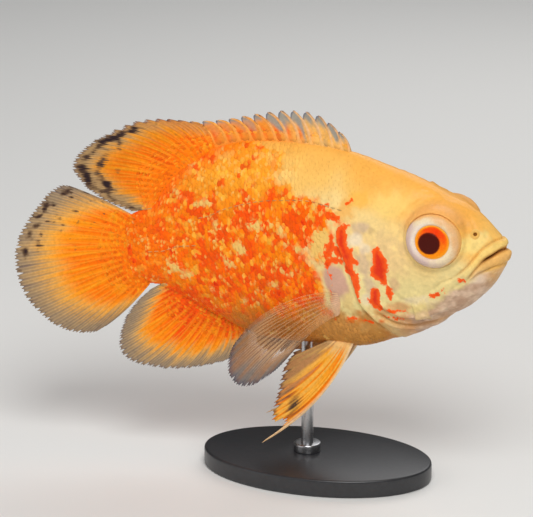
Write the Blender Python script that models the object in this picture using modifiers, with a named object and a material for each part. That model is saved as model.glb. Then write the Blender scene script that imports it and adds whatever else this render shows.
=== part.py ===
"""A young oscar fish (Astronotus ocellatus), life size, swimming above a plain display stand.

The fish is modelled straight and level, as (back, side, up): back is the distance behind the
snout tip, side is positive to the fish's left, and up is measured from the mouth's level. It is
parted into head, jaw, gill covers, torso, stalk and fins, and then bent, pitched and raised into
its pose. Lengths are in metres, +Z is up, and the head points along +X.
"""

import math

import bmesh
import bpy
from mathutils import Matrix, Vector

for old in list(bpy.data.objects):
    bpy.data.objects.remove(old)

MM = 0.001

# Driving dimensions of the fish
TOTAL_LENGTH = 170 * MM
BODY_END = 131 * MM  # where the flesh ends and the tail fin begins
GAP = 0.3 * MM  # the clearance between neighbouring pieces

# Pose: the head turns a little to the fish's right, and the body bends on towards the tail
HEAD_HEADING = math.radians(-5)
TAIL_HEADING = math.radians(19)
BEND_START = 40 * MM
PITCH = math.radians(6.3)
BALANCE_POINT = 66 * MM  # this far behind the snout stands over the middle of the base
HEIGHT = 77 * MM  # of the fish's own level over the floor

# Body outline: (back, value) in millimetres, joined by smooth curves
TOP = ((0.3, 0.9), (1.3, 2.9), (3, 4.4), (5, 6.6), (7.7, 9.6), (10.5, 12.2), (14, 14.8),
       (18.8, 17.0), (25.4, 20.6), (32, 23.9), (42, 27.9), (52.4, 31.8), (62, 34.0), (75, 35.6),
       (87, 36.2), (98, 34.6), (108, 30.2), (116, 23.6), (122.5, 16.2), (131, 12.6))
BOTTOM = ((0.3, -3.4), (2.5, -6.6), (6.1, -11.6), (13.3, -17.9), (20.5, -21.7), (27.8, -25.9),
          (38.6, -29.8), (55.4, -33.5), (70, -32.6), (85.7, -30.9), (94, -28.0), (107.7, -20.0),
          (115.7, -14.6), (123, -11.2), (131, -10.4))
HALF_WIDTH = ((0.3, 1.6), (2, 3.9), (4, 5.2), (7, 6.5), (11, 7.8), (18, 9.3), (24, 10.3),
              (32, 11.2), (42, 12.0), (54, 12.5), (68, 12.2), (82, 11.0), (96, 8.9),
              (108, 6.4), (118, 4.2), (126, 2.4), (131, 1.4))
WIDEST_LEVEL = ((0.3, -1.5), (12, -4), (30, -3.5), (55, -2), (90, 0.5), (131, 1))
TOP_FULLNESS = ((0.3, 2.0), (12, 2.2), (30, 2.25), (50, 2.0), (75, 1.85), (131, 2.0))
BOTTOM_FULLNESS = ((0.3, 2.0), (12, 1.9), (30, 1.9), (60, 2.1), (90, 2.0), (131, 2.0))
STATIONS = 38
RING_POINTS = 28
CROWDING = 1.35  # above 1, stations crowd towards the snout
BODY_SIDE = (3 * MM, 30 * MM)  # sideways from the middle, this range holds one side's outer layer
FAR = 200  # an edge in millimetres that is clear of the whole fish

# Head
MOUTH_LINE = ((-4, 0.6), (1.2, 0.0), (4.1, -1.2), (7.5, -3.4), (10.2, -6.0), (12.6, -9.2))
JAW_HINGE_LINE = ((12.6, -9.2), (17.5, -13.8), (23, -17.6), (26.5, -21.6), (27.5, -40))
MOUTH_OPENING = 0.5  # at the snout, in millimetres, and closing to the corners
UPPER_LIP = ((1.4, 0, 1.9), (2.3, 2.6, 1.8), (4.4, 4.5, 1.0), (7.2, 5.9, -1.0), (10.0, 6.8, -3.9),
             (13.4, 7.5, -7.9))
LOWER_LIP = ((0.9, 0, -2.2), (1.7, 2.3, -2.5), (3.6, 4.1, -3.4), (6.0, 5.4, -4.9),
             (8.6, 6.2, -7.0), (11.8, 6.9, -10.1))
LIP_HALF_HEIGHT, LIP_HALF_DEPTH = 1.85 * MM, 1.3 * MM
LIP_TAPER = 0.4  # how much smaller a lip is at the mouth's corners
LIP_STEPS, LIP_SIDES = 20, 8
EYE_BACK, EYE_UP, EYE_SIDE = 21.5 * MM, 5.1 * MM, 9.0 * MM
EYE_RADIUS, EYE_DEPTH = 9.2 * MM, 4.4 * MM
EYE_SQUARENESS = 2.8  # 2 is an ellipsoid, and more is a flatter button with a rounder edge
ORBIT_RADIUS, ORBIT_DEPTH, ORBIT_SIDE = 10.7 * MM, 5.5 * MM, 7.9 * MM
EYE_FORWARD_TURN = math.radians(9)
EYE_SEGMENTS, EYE_RINGS = 24, 12
NOSTRIL = (8.9 * MM, 5.9 * MM)
NOSTRIL_RADIUS = 0.95 * MM
NOSTRIL_RIM, NOSTRIL_PIT = 0.35, 0.55  # the rim's thickness and the pit's width, as shares of it
NOSTRIL_DEPTH = 1.3 * MM
NOSTRIL_FACING = (0.35, 1, 0.5)
NOSTRIL_SIDES = 12
NECK_CUT = ((46, 60), (49.3, 24), (51.5, 14), (51.5, 7), (50, 0), (48, -8), (44.5, -16),
            (40, -22), (36, -27), (33, -60))
STALK_CUT = 117 * MM
GILL_COVER = ((40.5, 12.6), (45.5, 13.4), (51, 11.8), (55, 8.6), (54.8, 4.5), (53, -0.4),
              (51.2, -6), (50.3, -11), (49, -16), (46.8, -19.8), (43.8, -23.2), (40, -26),
              (34.5, -26.2), (33.5, -21), (36.5, -11), (39, 1))
GILL_COVER_RISE = 0.55 * MM
GILL_COVER_THICKNESS = 2.0 * MM
GILL_COVER_CORNERS = 36

# Fins: half thickness of a ray, of the web between rays and of the outer edge
RAY_HALF = 0.42 * MM
WEB_HALF = 0.27 * MM
TIP_HALF = 0.2 * MM
SINK = 2.2 * MM  # how far a fin's blade is drawn into the body before it is cut to fit
ROOT_LENGTH = 0.385  # the share of a ray over which the fleshy root thins away

# The columns of each ray: how far towards the next ray, how far along the ray, and if it is a ridge
SOFT_RAY = ((0.0, 1.0, True), (0.5, 0.95, False))
SPINE = ((0.0, 1.0, True), (0.35, 0.93, False), (0.78, 0.64, False))
BRANCHED_RAY = ((0.0, 1.0, True), (0.25, 0.88, False), (0.5, 0.94, True), (0.75, 0.86, False))

# Fin outlines in (back, side, up) or (back, up), and how the first and last ray bow, all in millimetres
SPINES_ROOT = (53.2, 97.7)
SPINES_TIPS = ((54.9, 0, 37.6), (60.6, 0.1, 42.6), (65.5, 0.3, 44.6), (73.6, 0.4, 45.3),
               (83.5, 0.4, 44.5), (95, 0.2, 43.0), (105.6, 0, 42.8))
SPINES_BOW = ((1.2, 0, 1), (-1.5, 0, 2.4))
DORSAL_ROOT = (98.2, 121.5)
DORSAL_TIPS = ((106.2, 0, 43.2), (113.7, 0, 44.5), (123.5, 0.5, 44.6), (132.2, 1.2, 41.7),
               (140.7, 1.8, 37.9), (146.3, 2.2, 33.4), (147.7, 2.2, 29.8), (146.3, 2, 26.2),
               (143, 1.6, 21.7), (137, 1, 17.3), (129.5, 0.4, 13.8))
DORSAL_BOW = ((-1.5, 0, 2.4), (0, 0, 0))
ANAL_ROOT = (94.5, 119.5)
ANAL_TIPS = ((97.4, 0, -34.8), (102, 0, -38.3), (109.3, -0.2, -40.2), (118, -0.6, -40.9),
             (126, -0.9, -40.1), (134, -1.2, -37.8), (138, -1.4, -33.9), (138.3, -1.4, -29),
             (135.5, -1.2, -22.1), (131.4, -0.9, -17), (126, -0.4, -12.9))
ANAL_BOW = ((-1.8, 0, -2.2), (0, 0, 0))
TAIL_ROOT_BACK, TAIL_ROOT_CURVE, TAIL_ROOT_LEAN = 128.6, 2.2, 1.2
TAIL_ROOT_UP, TAIL_ROOT_HALF_HEIGHT = 0.5, 11.0
TAIL_TIPS = ((146.8, 0.8, 22.8), (151.8, 1.2, 24.6), (156.4, 1.2, 22.4), (161.8, 1.1, 17.0),
             (166.8, 0.8, 10.9), (170, 0.2, 3.5), (170.3, -0.4, -4.2), (168, -0.6, -12.6),
             (162.6, -0.4, -20.4), (155, 0.2, -25.7), (147, 0.8, -27), (141.6, 1.2, -24.2))
TAIL_BOW = ((0, 0, 0.8), (0, 0, -1.0))
CHEST_ROOT = ((54.8, -12.6), (57.2, -19.4))
CHEST_SINK = 1.2
CHEST_TIPS = ((90.5, 13.4, -24.5), (95.6, 15.2, -30.5), (97.4, 16.6, -36.1), (95.6, 18, -40.4),
              (91.6, 19, -42.4), (87, 19, -41.4), (82.6, 18.4, -39), (77.8, 17.2, -35.4),
              (71.5, 15, -29.6))
CHEST_BOW = ((1.0, 2.2, 4.2), (1.0, 2.2, 0))
HIP_ROOT = ((55.6, 3.4, -31.0), (64, 5.2, -30.4))
HIP_TIPS = ((90.1, 9.4, -64.3), (86.6, 9.2, -57.4), (85.4, 9, -52.2), (83.4, 8.8, -47),
            (81.9, 8.2, -41.8), (78.8, 7.2, -36))
HIP_BOW = ((-3.2, 0, -2.8), (0, 0, 0))
HIP_TURN = (58, 4.4, -32)  # the left pelvic fin is swept back round this point
HIP_SWEEP = math.radians(7)

# Stand
BASE_LENGTH, BASE_WIDTH, BASE_THICKNESS = 78 * MM, 50 * MM, 6 * MM
ROD_RADIUS = 2.0 * MM
ROD_BACK = 73.5 * MM
COLLAR_RADIUS, COLLAR_HEIGHT = 4.5 * MM, 3 * MM
BASE_SIDES, ROD_SIDES, COLLAR_SIDES = 56, 20, 28
RIM_RADIUS = 0.8 * MM

# Colours as linear red, green and blue
PALE_GOLD = (0.85, 0.58, 0.22)
ORANGE = (0.90, 0.27, 0.02)
PEACH = (0.82, 0.42, 0.20)
IVORY = (0.80, 0.58, 0.42)
BLACK = (0.02, 0.02, 0.022)
STEEL = (0.55, 0.55, 0.56)


def smooth_curve(points):
    """A function through (position, value) pairs that never overshoots between them."""
    xs = [p[0] for p in points]
    ys = [p[1] for p in points]
    slopes = [(ys[i + 1] - ys[i]) / (xs[i + 1] - xs[i]) for i in range(len(xs) - 1)]
    bends = [slopes[0]]
    for before, after in zip(slopes, slopes[1:]):
        same_way = before * after > 0
        bends.append(2 * before * after / (before + after) if same_way else 0.0)
    bends.append(slopes[-1])

    def value(x):
        x = min(max(x, xs[0]), xs[-1])
        i = max(j for j in range(len(xs) - 1) if xs[j] <= x)
        span = xs[i + 1] - xs[i]
        t = (x - xs[i]) / span
        return (ys[i] * (1 + 2 * t) * (1 - t) ** 2 + ys[i + 1] * t * t * (3 - 2 * t)
                + span * (bends[i] * t * (1 - t) ** 2 - bends[i + 1] * t * t * (1 - t)))

    return value


def path_through(points, steps=12):
    """A function from 0..1 to a smooth path through the points, even in arc length."""
    points = [Vector(p) for p in points]
    padded = [2 * points[0] - points[1], *points, 2 * points[-1] - points[-2]]
    fine = []
    for a, b, c, d in zip(padded, padded[1:], padded[2:], padded[3:]):
        for step in range(steps):
            t = step / steps
            fine.append(0.5 * (2 * b + (c - a) * t + (2 * a - 5 * b + 4 * c - d) * t * t
                               + (3 * b - a - 3 * c + d) * t ** 3))
    fine.append(points[-1])
    lengths = [0.0]
    for a, b in zip(fine, fine[1:]):
        lengths.append(lengths[-1] + (b - a).length)

    def at(share):
        target = min(max(share, 0.0), 1.0) * lengths[-1]
        i = max(j for j in range(len(fine) - 1) if lengths[j] <= target)
        t = (target - lengths[i]) / (lengths[i + 1] - lengths[i])
        return fine[i].lerp(fine[i + 1], t)

    return at


top_mm, bottom_mm, half_width_mm = map(smooth_curve, (TOP, BOTTOM, HALF_WIDTH))
widest_mm, top_fullness, bottom_fullness = map(
    smooth_curve, (WIDEST_LEVEL, TOP_FULLNESS, BOTTOM_FULLNESS))


def surface_point(back, angle):
    """The skin at a distance behind the snout; angle 0 is the left side and 90 degrees the back."""
    b = back / MM
    width, middle = half_width_mm(b), widest_mm(b)
    c, s = math.cos(angle), math.sin(angle)
    power = 2 / (top_fullness(b) if s > 0 else bottom_fullness(b))
    height = top_mm(b) - middle if s > 0 else middle - bottom_mm(b)
    side = math.copysign(width * abs(c) ** power, c)
    up = middle + math.copysign(height * abs(s) ** power, s)
    return Vector((-back, side * MM, up * MM))


def side_at(back, up):
    """Half the body's width at this place on its side."""
    b, u = back / MM, up / MM
    middle = widest_mm(b)
    high = u > middle
    height = top_mm(b) - middle if high else middle - bottom_mm(b)
    power = top_fullness(b) if high else bottom_fullness(b)
    share = min(abs(u - middle) / height, 1.0)
    return half_width_mm(b) * MM * (1 - share ** power) ** (1 / power)


def straight(back, side, up):
    """A point given in millimetres, as a vector in the straight fish."""
    return Vector((-back * MM, side * MM, up * MM))


def posed(point):
    """Where a point of the straight, level fish comes to lie in the pose."""
    back = -point.x
    turn = (TAIL_HEADING - HEAD_HEADING) / (TOTAL_LENGTH - BEND_START)
    heading = HEAD_HEADING + turn * max(back - BEND_START, 0.0)
    x = max(BEND_START - back, 0.0) * math.cos(HEAD_HEADING)
    y = max(BEND_START - back, 0.0) * math.sin(HEAD_HEADING)
    x -= (math.sin(heading) - math.sin(HEAD_HEADING)) / turn
    y -= (math.cos(HEAD_HEADING) - math.cos(heading)) / turn
    x += BALANCE_POINT - BEND_START - point.y * math.sin(heading)
    y += point.y * math.cos(heading)
    return Vector((x * math.cos(PITCH) - point.z * math.sin(PITCH), y,
                   x * math.sin(PITCH) + point.z * math.cos(PITCH) + HEIGHT))


def material(name, colour, roughness, metallic=0.0):
    made = bpy.data.materials.new(name)
    made.use_nodes = True
    shader = made.node_tree.nodes["Principled BSDF"]
    shader.inputs["Base Color"].default_value = (*colour, 1)
    shader.inputs["Roughness"].default_value = roughness
    shader.inputs["Metallic"].default_value = metallic
    return made


def object_from(bm, name, home):
    """A new object of a bmesh with outward faces, in the home collection."""
    bmesh.ops.recalc_face_normals(bm, faces=bm.faces)
    mesh = bpy.data.meshes.new(name)
    bm.to_mesh(mesh)
    bm.free()
    made = bpy.data.objects.new(name, mesh)
    home.objects.link(made)
    return guide(made) if home == cutters else made


def guide(obj):
    """Marks a cutter or a pattern, which isn't part of the model."""
    obj.hide_render = True
    obj.display_type = "WIRE"
    return obj


def grown(obj, distance):
    """Moves each point of a closed mesh out along its normal."""
    bm = bmesh.new()
    bm.from_mesh(obj.data)
    bm.normal_update()
    shifts = [v.normal * distance for v in bm.verts]
    for v, shift in zip(bm.verts, shifts):
        v.co += shift
    bm.to_mesh(obj.data)
    bm.free()
    return obj


def flesh(name, distance=0.0):
    """The whole body as a loft of its cross-sections, grown by a distance."""
    bm = bmesh.new()
    first = TOP[0][0] * MM
    rings = []
    for j in range(STATIONS + 1):
        back = first + (BODY_END - first) * (j / STATIONS) ** CROWDING
        angles = [2 * math.pi * i / RING_POINTS for i in range(RING_POINTS)]
        rings.append([bm.verts.new(surface_point(back, a)) for a in angles])
    for a, b in zip(rings, rings[1:]):
        for i in range(RING_POINTS):
            k = (i + 1) % RING_POINTS
            bm.faces.new((a[i], b[i], b[k], a[k]))
    bm.faces.new(rings[0])
    bm.faces.new(rings[-1])
    return grown(object_from(bm, name, cutters), distance)


def prism(name, outline, near, far):
    """A block with an outline of (back, up) in millimetres, reaching sideways from near to far."""
    bm = bmesh.new()
    face = bm.faces.new([bm.verts.new((-b * MM, near, u * MM)) for b, u in outline])
    swept = bmesh.ops.extrude_face_region(bm, geom=[face])["geom"]
    moved = [v for v in swept if isinstance(v, bmesh.types.BMVert)]
    bmesh.ops.translate(bm, verts=moved, vec=(0, far - near, 0))
    return object_from(bm, name, cutters)


def widened(outline, distance):
    """An outline with each corner moved outwards by a distance in millimetres."""
    made = []
    for before, here, after in zip(outline[-1:] + outline[:-1], outline, outline[1:] + outline[:1]):
        along = Vector(after) - Vector(before)
        made.append(tuple(Vector(here) + Vector((-along.y, along.x)).normalized() * distance))
    return made


def combined(target, tool, operation):
    """Applies one Boolean of the tool to the target. The tool is an object or a collection."""
    cut = target.modifiers.new("Boolean", "BOOLEAN")
    cut.operation = operation
    cut.solver = "EXACT"
    if isinstance(tool, bpy.types.Collection):
        cut.operand_type = "COLLECTION"
        cut.collection = tool
    else:
        cut.object = tool
    bpy.context.view_layer.update()
    graph = bpy.context.evaluated_depsgraph_get()
    result = bpy.data.meshes.new_from_object(target.evaluated_get(graph))
    target.modifiers.clear()
    target.data = result
    return target


def copy_of(obj, name):
    made = bpy.data.objects.new(name, obj.data.copy())
    cutters.objects.link(made)
    return guide(made)


def keep_largest(obj):
    """Keeps only the closed surface with the most volume."""
    bm = bmesh.new()
    bm.from_mesh(obj.data)
    bmesh.ops.remove_doubles(bm, verts=bm.verts, dist=1e-7)
    islands, unseen = [], set(bm.faces)
    while unseen:
        reached = [unseen.pop()]
        for face in reached:
            near = {f for e in face.edges for f in e.link_faces} & unseen
            unseen -= near
            reached.extend(near)
        islands.append(reached)

    def volume(faces):
        total = 0.0
        for f in faces:
            first = f.verts[0].co
            for a, b in zip(f.verts[1:], f.verts[2:]):
                total += first.dot(a.co.cross(b.co))
        return total

    islands.sort(key=volume)
    scraps = [f for island in islands[:-1] for f in island]
    bmesh.ops.delete(bm, geom=scraps, context="FACES")
    bmesh.ops.triangulate(bm, faces=bm.faces)
    bm.to_mesh(obj.data)
    bm.free()
    return obj


def finished(obj, name, look):
    """Names a piece, bends it into the pose and moves it to the fish's own collection."""
    keep_largest(obj)
    for v in obj.data.vertices:
        v.co = posed(v.co)
    return handed_in(obj, name, look)


def handed_in(obj, name, look):
    """Gives a finished piece its name and material, and shows it."""
    obj.name = name
    obj.hide_render = False
    obj.display_type = "TEXTURED"
    obj.data.name = name
    obj.data.materials.clear()
    obj.data.materials.append(look)
    return moved_to(obj, fish)


def moved_to(obj, home):
    for old_home in list(obj.users_collection):
        old_home.objects.unlink(obj)
    home.objects.link(obj)
    return obj


def eye_place(sign, side):
    """The matrix of an eye whose own +Z looks out of the head. sign is 1 on the left."""
    turn = Matrix.Rotation(sign * EYE_FORWARD_TURN, 4, "Z").inverted()
    outwards = Matrix.Rotation(-sign * math.pi / 2, 4, "X")
    return Matrix.Translation((-EYE_BACK, sign * side, EYE_UP)) @ turn @ outwards


def button(name, sign, radius, depth, side, squareness, home):
    """A flattened ball on the eye's axis. Its squareness sets how flat its front is."""
    bm = bmesh.new()
    bmesh.ops.create_uvsphere(bm, u_segments=EYE_SEGMENTS, v_segments=EYE_RINGS, radius=1)
    for v in bm.verts:
        flat = max(math.hypot(v.co.x, v.co.y), 1e-9)
        wide = radius * flat ** (2 / squareness) / flat
        deep = math.copysign(depth * abs(v.co.z) ** (2 / squareness), v.co.z)
        v.co = (v.co.x * wide, v.co.y * wide, deep)
    bmesh.ops.transform(bm, matrix=eye_place(sign, side), verts=bm.verts)
    return object_from(bm, name, home)


def eyeball(name, sign, clearance=0.0):
    """An eye, or with a clearance the socket that it sits in."""
    return button(name, sign, EYE_RADIUS + clearance, EYE_DEPTH + clearance, EYE_SIDE,
                  EYE_SQUARENESS, cutters)


def nostril_rim(place, home):
    """A raised ring round a nostril, whose matrix has +Z pointing out of the snout."""
    bpy.ops.mesh.primitive_torus_add(major_segments=NOSTRIL_SIDES, minor_segments=8,
                                     major_radius=NOSTRIL_RADIUS,
                                     minor_radius=NOSTRIL_RADIUS * NOSTRIL_RIM)
    made = bpy.context.object
    made.name = "nostril_rim"
    made.data.transform(place)
    return moved_to(made, home)


def lip(name, half_line, home):
    """A lip as a tapered sweep round the snout, from one corner of the mouth to the other."""
    right = [straight(b, -side, u) for b, side, u in half_line]
    left = [straight(b, side, u) for b, side, u in half_line]
    path = path_through([*reversed(right), *left[1:]])
    nearby = 0.4 / LIP_STEPS
    bm = bmesh.new()
    rings = []
    for j in range(LIP_STEPS + 1):
        share = j / LIP_STEPS
        centre = path(share)
        along = (path(share + nearby) - path(share - nearby)).normalized()
        outwards = Vector((along.y, -along.x, 0)).normalized()
        upwards = along.cross(outwards)
        size = 1 - LIP_TAPER * abs(2 * share - 1) ** 2
        ring = []
        for i in range(LIP_SIDES):
            a = 2 * math.pi * i / LIP_SIDES
            ring.append(bm.verts.new(centre + outwards * math.cos(a) * LIP_HALF_DEPTH * size
                                     + upwards * math.sin(a) * LIP_HALF_HEIGHT * size))
        rings.append(ring)
    for a, b in zip(rings, rings[1:]):
        for i in range(LIP_SIDES):
            k = (i + 1) % LIP_SIDES
            bm.faces.new((a[i], b[i], b[k], a[k]))
    bm.faces.new(rings[0])
    bm.faces.new(rings[-1])
    return object_from(bm, name, home)


def nostril_places():
    """Matrices of the two nostrils, whose +Z points out of the snout."""
    back, up = NOSTRIL
    for sign in (-1, 1):
        spot = Vector((-back, sign * side_at(back, up), up))
        forward, sideways, upward = NOSTRIL_FACING
        outwards = Vector((forward, sign * sideways, upward)).normalized()
        yield Matrix.Translation(spot) @ outwards.to_track_quat("Z", "Y").to_matrix().to_4x4()


def gill_cover(side_name, sign):
    """A plate over the gills: the outer layer of the body inside the cover's outline."""
    outline = smooth_outline(GILL_COVER)
    plate = flesh("gill_plate", GILL_COVER_RISE)
    combined(plate, one_side("gill_outline", outline, sign), "INTERSECT")
    combined(plate, flesh("gill_underside", GILL_COVER_RISE - GILL_COVER_THICKNESS), "DIFFERENCE")
    return finished(plate, "gill_cover_" + side_name, pale_skin)


def smooth_outline(points):
    path = path_through([*points, points[0]])
    return [tuple(path(i / GILL_COVER_CORNERS)) for i in range(GILL_COVER_CORNERS)]


def one_side(name, outline, sign):
    """A block that reaches through one side of the body. sign is 1 on the left."""
    return prism(name, outline, *(sign * reach for reach in BODY_SIDE))


def block(name, outline):
    """A block that reaches right through the body."""
    return prism(name, outline, -BODY_SIDE[1], BODY_SIDE[1])


def shifted(line, back, up=0.0):
    return [(b + back, u + up) for b, u in line]


def dressed_flesh():
    """The whole flesh with its lips, orbit rims, nostrils, eye sockets and gill recesses."""
    whole = flesh("whole")
    raised = bpy.data.collections.new("raised")
    bpy.context.scene.collection.children.link(raised)
    lip("upper_lip", UPPER_LIP, raised)
    lip("lower_lip", LOWER_LIP, raised)
    for sign in (-1, 1):
        button("orbit", sign, ORBIT_RADIUS, ORBIT_DEPTH, ORBIT_SIDE, 2, raised)
    for place in nostril_places():
        nostril_rim(place, raised)
    combined(whole, raised, "UNION")
    for obj in list(raised.objects):
        bpy.data.objects.remove(obj)
    bpy.data.collections.remove(raised)

    for place in nostril_places():
        bpy.ops.mesh.primitive_cylinder_add(vertices=NOSTRIL_SIDES, depth=2 * NOSTRIL_DEPTH,
                                            radius=NOSTRIL_RADIUS * NOSTRIL_PIT)
        pit = bpy.context.object
        pit.data.transform(place)
        combined(whole, pit, "DIFFERENCE")
        bpy.data.objects.remove(pit)
    outline = widened(smooth_outline(GILL_COVER), GAP / MM)
    for sign in (-1, 1):
        combined(whole, eyeball("socket", sign, GAP), "DIFFERENCE")
        recess = one_side("recess", outline, sign)
        floor = flesh("floor", GILL_COVER_RISE - GILL_COVER_THICKNESS - GAP)
        combined(whole, combined(recess, floor, "DIFFERENCE"), "DIFFERENCE")
    return whole


def body_pieces():
    """The dressed flesh parted into head, jaw, torso and stalk."""
    whole = dressed_flesh()
    half = GAP / MM / 2
    corner = MOUTH_LINE[-1][0]
    jaw_line = [(b, u - MOUTH_OPENING * (1 - max(b, 0) / corner)) for b, u in MOUTH_LINE]
    in_front = [(-FAR, FAR), *shifted(NECK_CUT, -half), (-FAR, -FAR)]
    throat = [*JAW_HINGE_LINE[1:], (JAW_HINGE_LINE[-1][0], -FAR), (-FAR, -FAR)]
    below_mouth = [*MOUTH_LINE, *throat, (-FAR, MOUTH_LINE[0][1])]
    below_gap = [*jaw_line, *throat, (-FAR, jaw_line[0][1])]
    behind = [(FAR, FAR), *shifted(NECK_CUT, half), (FAR, -FAR)]
    stalk_at = STALK_CUT / MM
    to_stalk = [(stalk_at - half, FAR), (stalk_at - half, -FAR), (-FAR, -FAR), (-FAR, FAR)]
    past_stalk = [(stalk_at + half, FAR), (stalk_at + half, -FAR), (FAR, -FAR), (FAR, FAR)]

    head = combined(copy_of(whole, "head"), block("front", in_front), "INTERSECT")
    jaw = copy_of(head, "jaw")
    combined(head, block("under", shifted(below_mouth, 0, half)), "DIFFERENCE")
    combined(jaw, block("jaw", shifted(below_gap, -half, -half)), "INTERSECT")
    torso = combined(copy_of(whole, "torso"), block("behind", behind), "INTERSECT")
    stalk = combined(copy_of(torso, "stalk"), block("past", past_stalk), "INTERSECT")
    combined(torso, block("to", to_stalk), "INTERSECT")
    return head, jaw, torso, stalk


def blade(name, root, tip, bow, rays, rows, root_half, pattern=SOFT_RAY):
    """A fin as one thin solid, with its rays raised as ridges on both faces of the web.

    root, tip and bow take a share of the way from the first ray to the last.
    """
    columns = []
    step = 0.01
    for i in range(rays):
        for offset, reach, ridge in pattern if i < rays - 1 else pattern[:1]:
            columns.append(((i + offset) / (rays - 1), reach, ridge))

    def middle(share, t):
        start, end = root(share), tip(share)
        return start.lerp(end, t) + bow(share) * (4 * t * (1 - t))

    bm = bmesh.new()
    left, right = [], []
    for share, reach, ridge in columns:
        left.append([])
        right.append([])
        for j in range(rows + 1):
            t = reach * j / rows
            centre = middle(share, t)
            along = middle(share, min(t + step, 1)) - middle(share, max(t - step, 0))
            across = middle(min(share + step, 1), t) - middle(max(share - step, 0), t)
            normal = along.cross(across).normalized()
            body = (RAY_HALF if ridge else WEB_HALF) * (1 - t) + (TIP_HALF if ridge else WEB_HALF) * t
            half = body + (root_half - body) * max(0.0, 1 - t / ROOT_LENGTH) ** 1.5
            left[-1].append(bm.verts.new(centre + normal * half))
            right[-1].append(bm.verts.new(centre - normal * half))
    last = len(columns) - 1
    for i in range(last):
        for j in range(rows):
            for face, turn in ((left, 1), (right, -1)):
                a, b, c, d = face[i][j], face[i + 1][j], face[i + 1][j + 1], face[i][j + 1]
                bm.faces.new((a, b, c)[::turn])
                bm.faces.new((a, c, d)[::turn])
    edge = [(i, 0) for i in range(last)] + [(last, j) for j in range(rows)]
    edge += [(i, rows) for i in range(last, 0, -1)] + [(0, j) for j in range(rows, 0, -1)]
    for (i, j), (k, m) in zip(edge, edge[1:] + edge[:1]):
        bm.faces.new((left[i][j], right[i][j], right[k][m]))
        bm.faces.new((left[i][j], right[k][m], left[k][m]))
    return object_from(bm, name, cutters)


def fin(name, look, *shape, **settings):
    """A blade cut to meet the body with a gap all round its root."""
    made = blade(name, *shape, **settings)
    combined(made, flesh("seat", GAP), "DIFFERENCE")
    return finished(made, name, look)


def along_back(start, end):
    """Roots on the line of the back, a little inside it."""
    def root(share):
        b = start + (end - start) * share
        return straight(b, 0, top_mm(b)) - Vector((0, 0, SINK))
    return root


def along_belly(start, end):
    def root(share):
        b = start + (end - start) * share
        return straight(b, 0, bottom_mm(b)) + Vector((0, 0, SINK))
    return root


def tips(points, sign=1):
    """A path through the rays' tips. sign is -1 for a fin on the right."""
    return path_through([straight(b, sign * side, up) for b, side, up in points])


def changing(first, last, sign=1):
    """A vector that changes evenly from the first ray to the last."""
    start, end = (straight(b, sign * side, up) for b, side, up in (first, last))
    return lambda share: start.lerp(end, share)


def tail_root(share):
    """The tail fin's root, a shallow curve that leans with the oblique end of the flesh."""
    oblique = 2 * share - 1
    back = TAIL_ROOT_BACK - TAIL_ROOT_CURVE * oblique ** 2 - TAIL_ROOT_LEAN * oblique
    return straight(back, 0, TAIL_ROOT_UP - TAIL_ROOT_HALF_HEIGHT * oblique)


def median_fins():
    fin("dorsal_fin_spines", fin_look, along_back(*SPINES_ROOT), tips(SPINES_TIPS),
        changing(*SPINES_BOW), rays=13, rows=4, root_half=1.3 * MM, pattern=SPINE)
    fin("dorsal_fin_soft", fin_look, along_back(*DORSAL_ROOT), tips(DORSAL_TIPS),
        changing(*DORSAL_BOW), rays=20, rows=7, root_half=1.5 * MM)
    fin("anal_fin", fin_look, along_belly(*ANAL_ROOT), tips(ANAL_TIPS),
        changing(*ANAL_BOW), rays=19, rows=6, root_half=1.5 * MM)
    fin("caudal_fin", fin_look, tail_root, tips(TAIL_TIPS),
        changing(*TAIL_BOW), rays=19, rows=8, root_half=1.15 * MM)


def paired_fins():
    """The pectoral and pelvic fins. The left pelvic fin is swept back a little more."""
    for side_name, sign in (("right", -1), ("left", 1)):
        def chest_root(share, sign=sign):
            b, u = Vector(CHEST_ROOT[0]).lerp(Vector(CHEST_ROOT[1]), share)
            return straight(b, sign * (side_at(b * MM, u * MM) / MM - CHEST_SINK), u)

        fin("pectoral_fin_" + side_name, clear_look, chest_root, tips(CHEST_TIPS, sign),
            changing(*CHEST_BOW, sign), rays=14, rows=7, root_half=1.2 * MM)

        turn_at = straight(HIP_TURN[0], sign * HIP_TURN[1], HIP_TURN[2])
        sweep = Matrix.Rotation(HIP_SWEEP if sign > 0 else 0, 4, "Y")
        hip_tips = [straight(b, sign * side, up) for b, side, up in HIP_TIPS]
        swept = [turn_at + sweep @ (tip - turn_at) for tip in hip_tips]
        fin("pelvic_fin_" + side_name, fin_look, changing(*HIP_ROOT, sign), path_through(swept),
            changing(*HIP_BOW, sign), rays=6, rows=7, root_half=1.3 * MM, pattern=BRANCHED_RAY)


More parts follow.
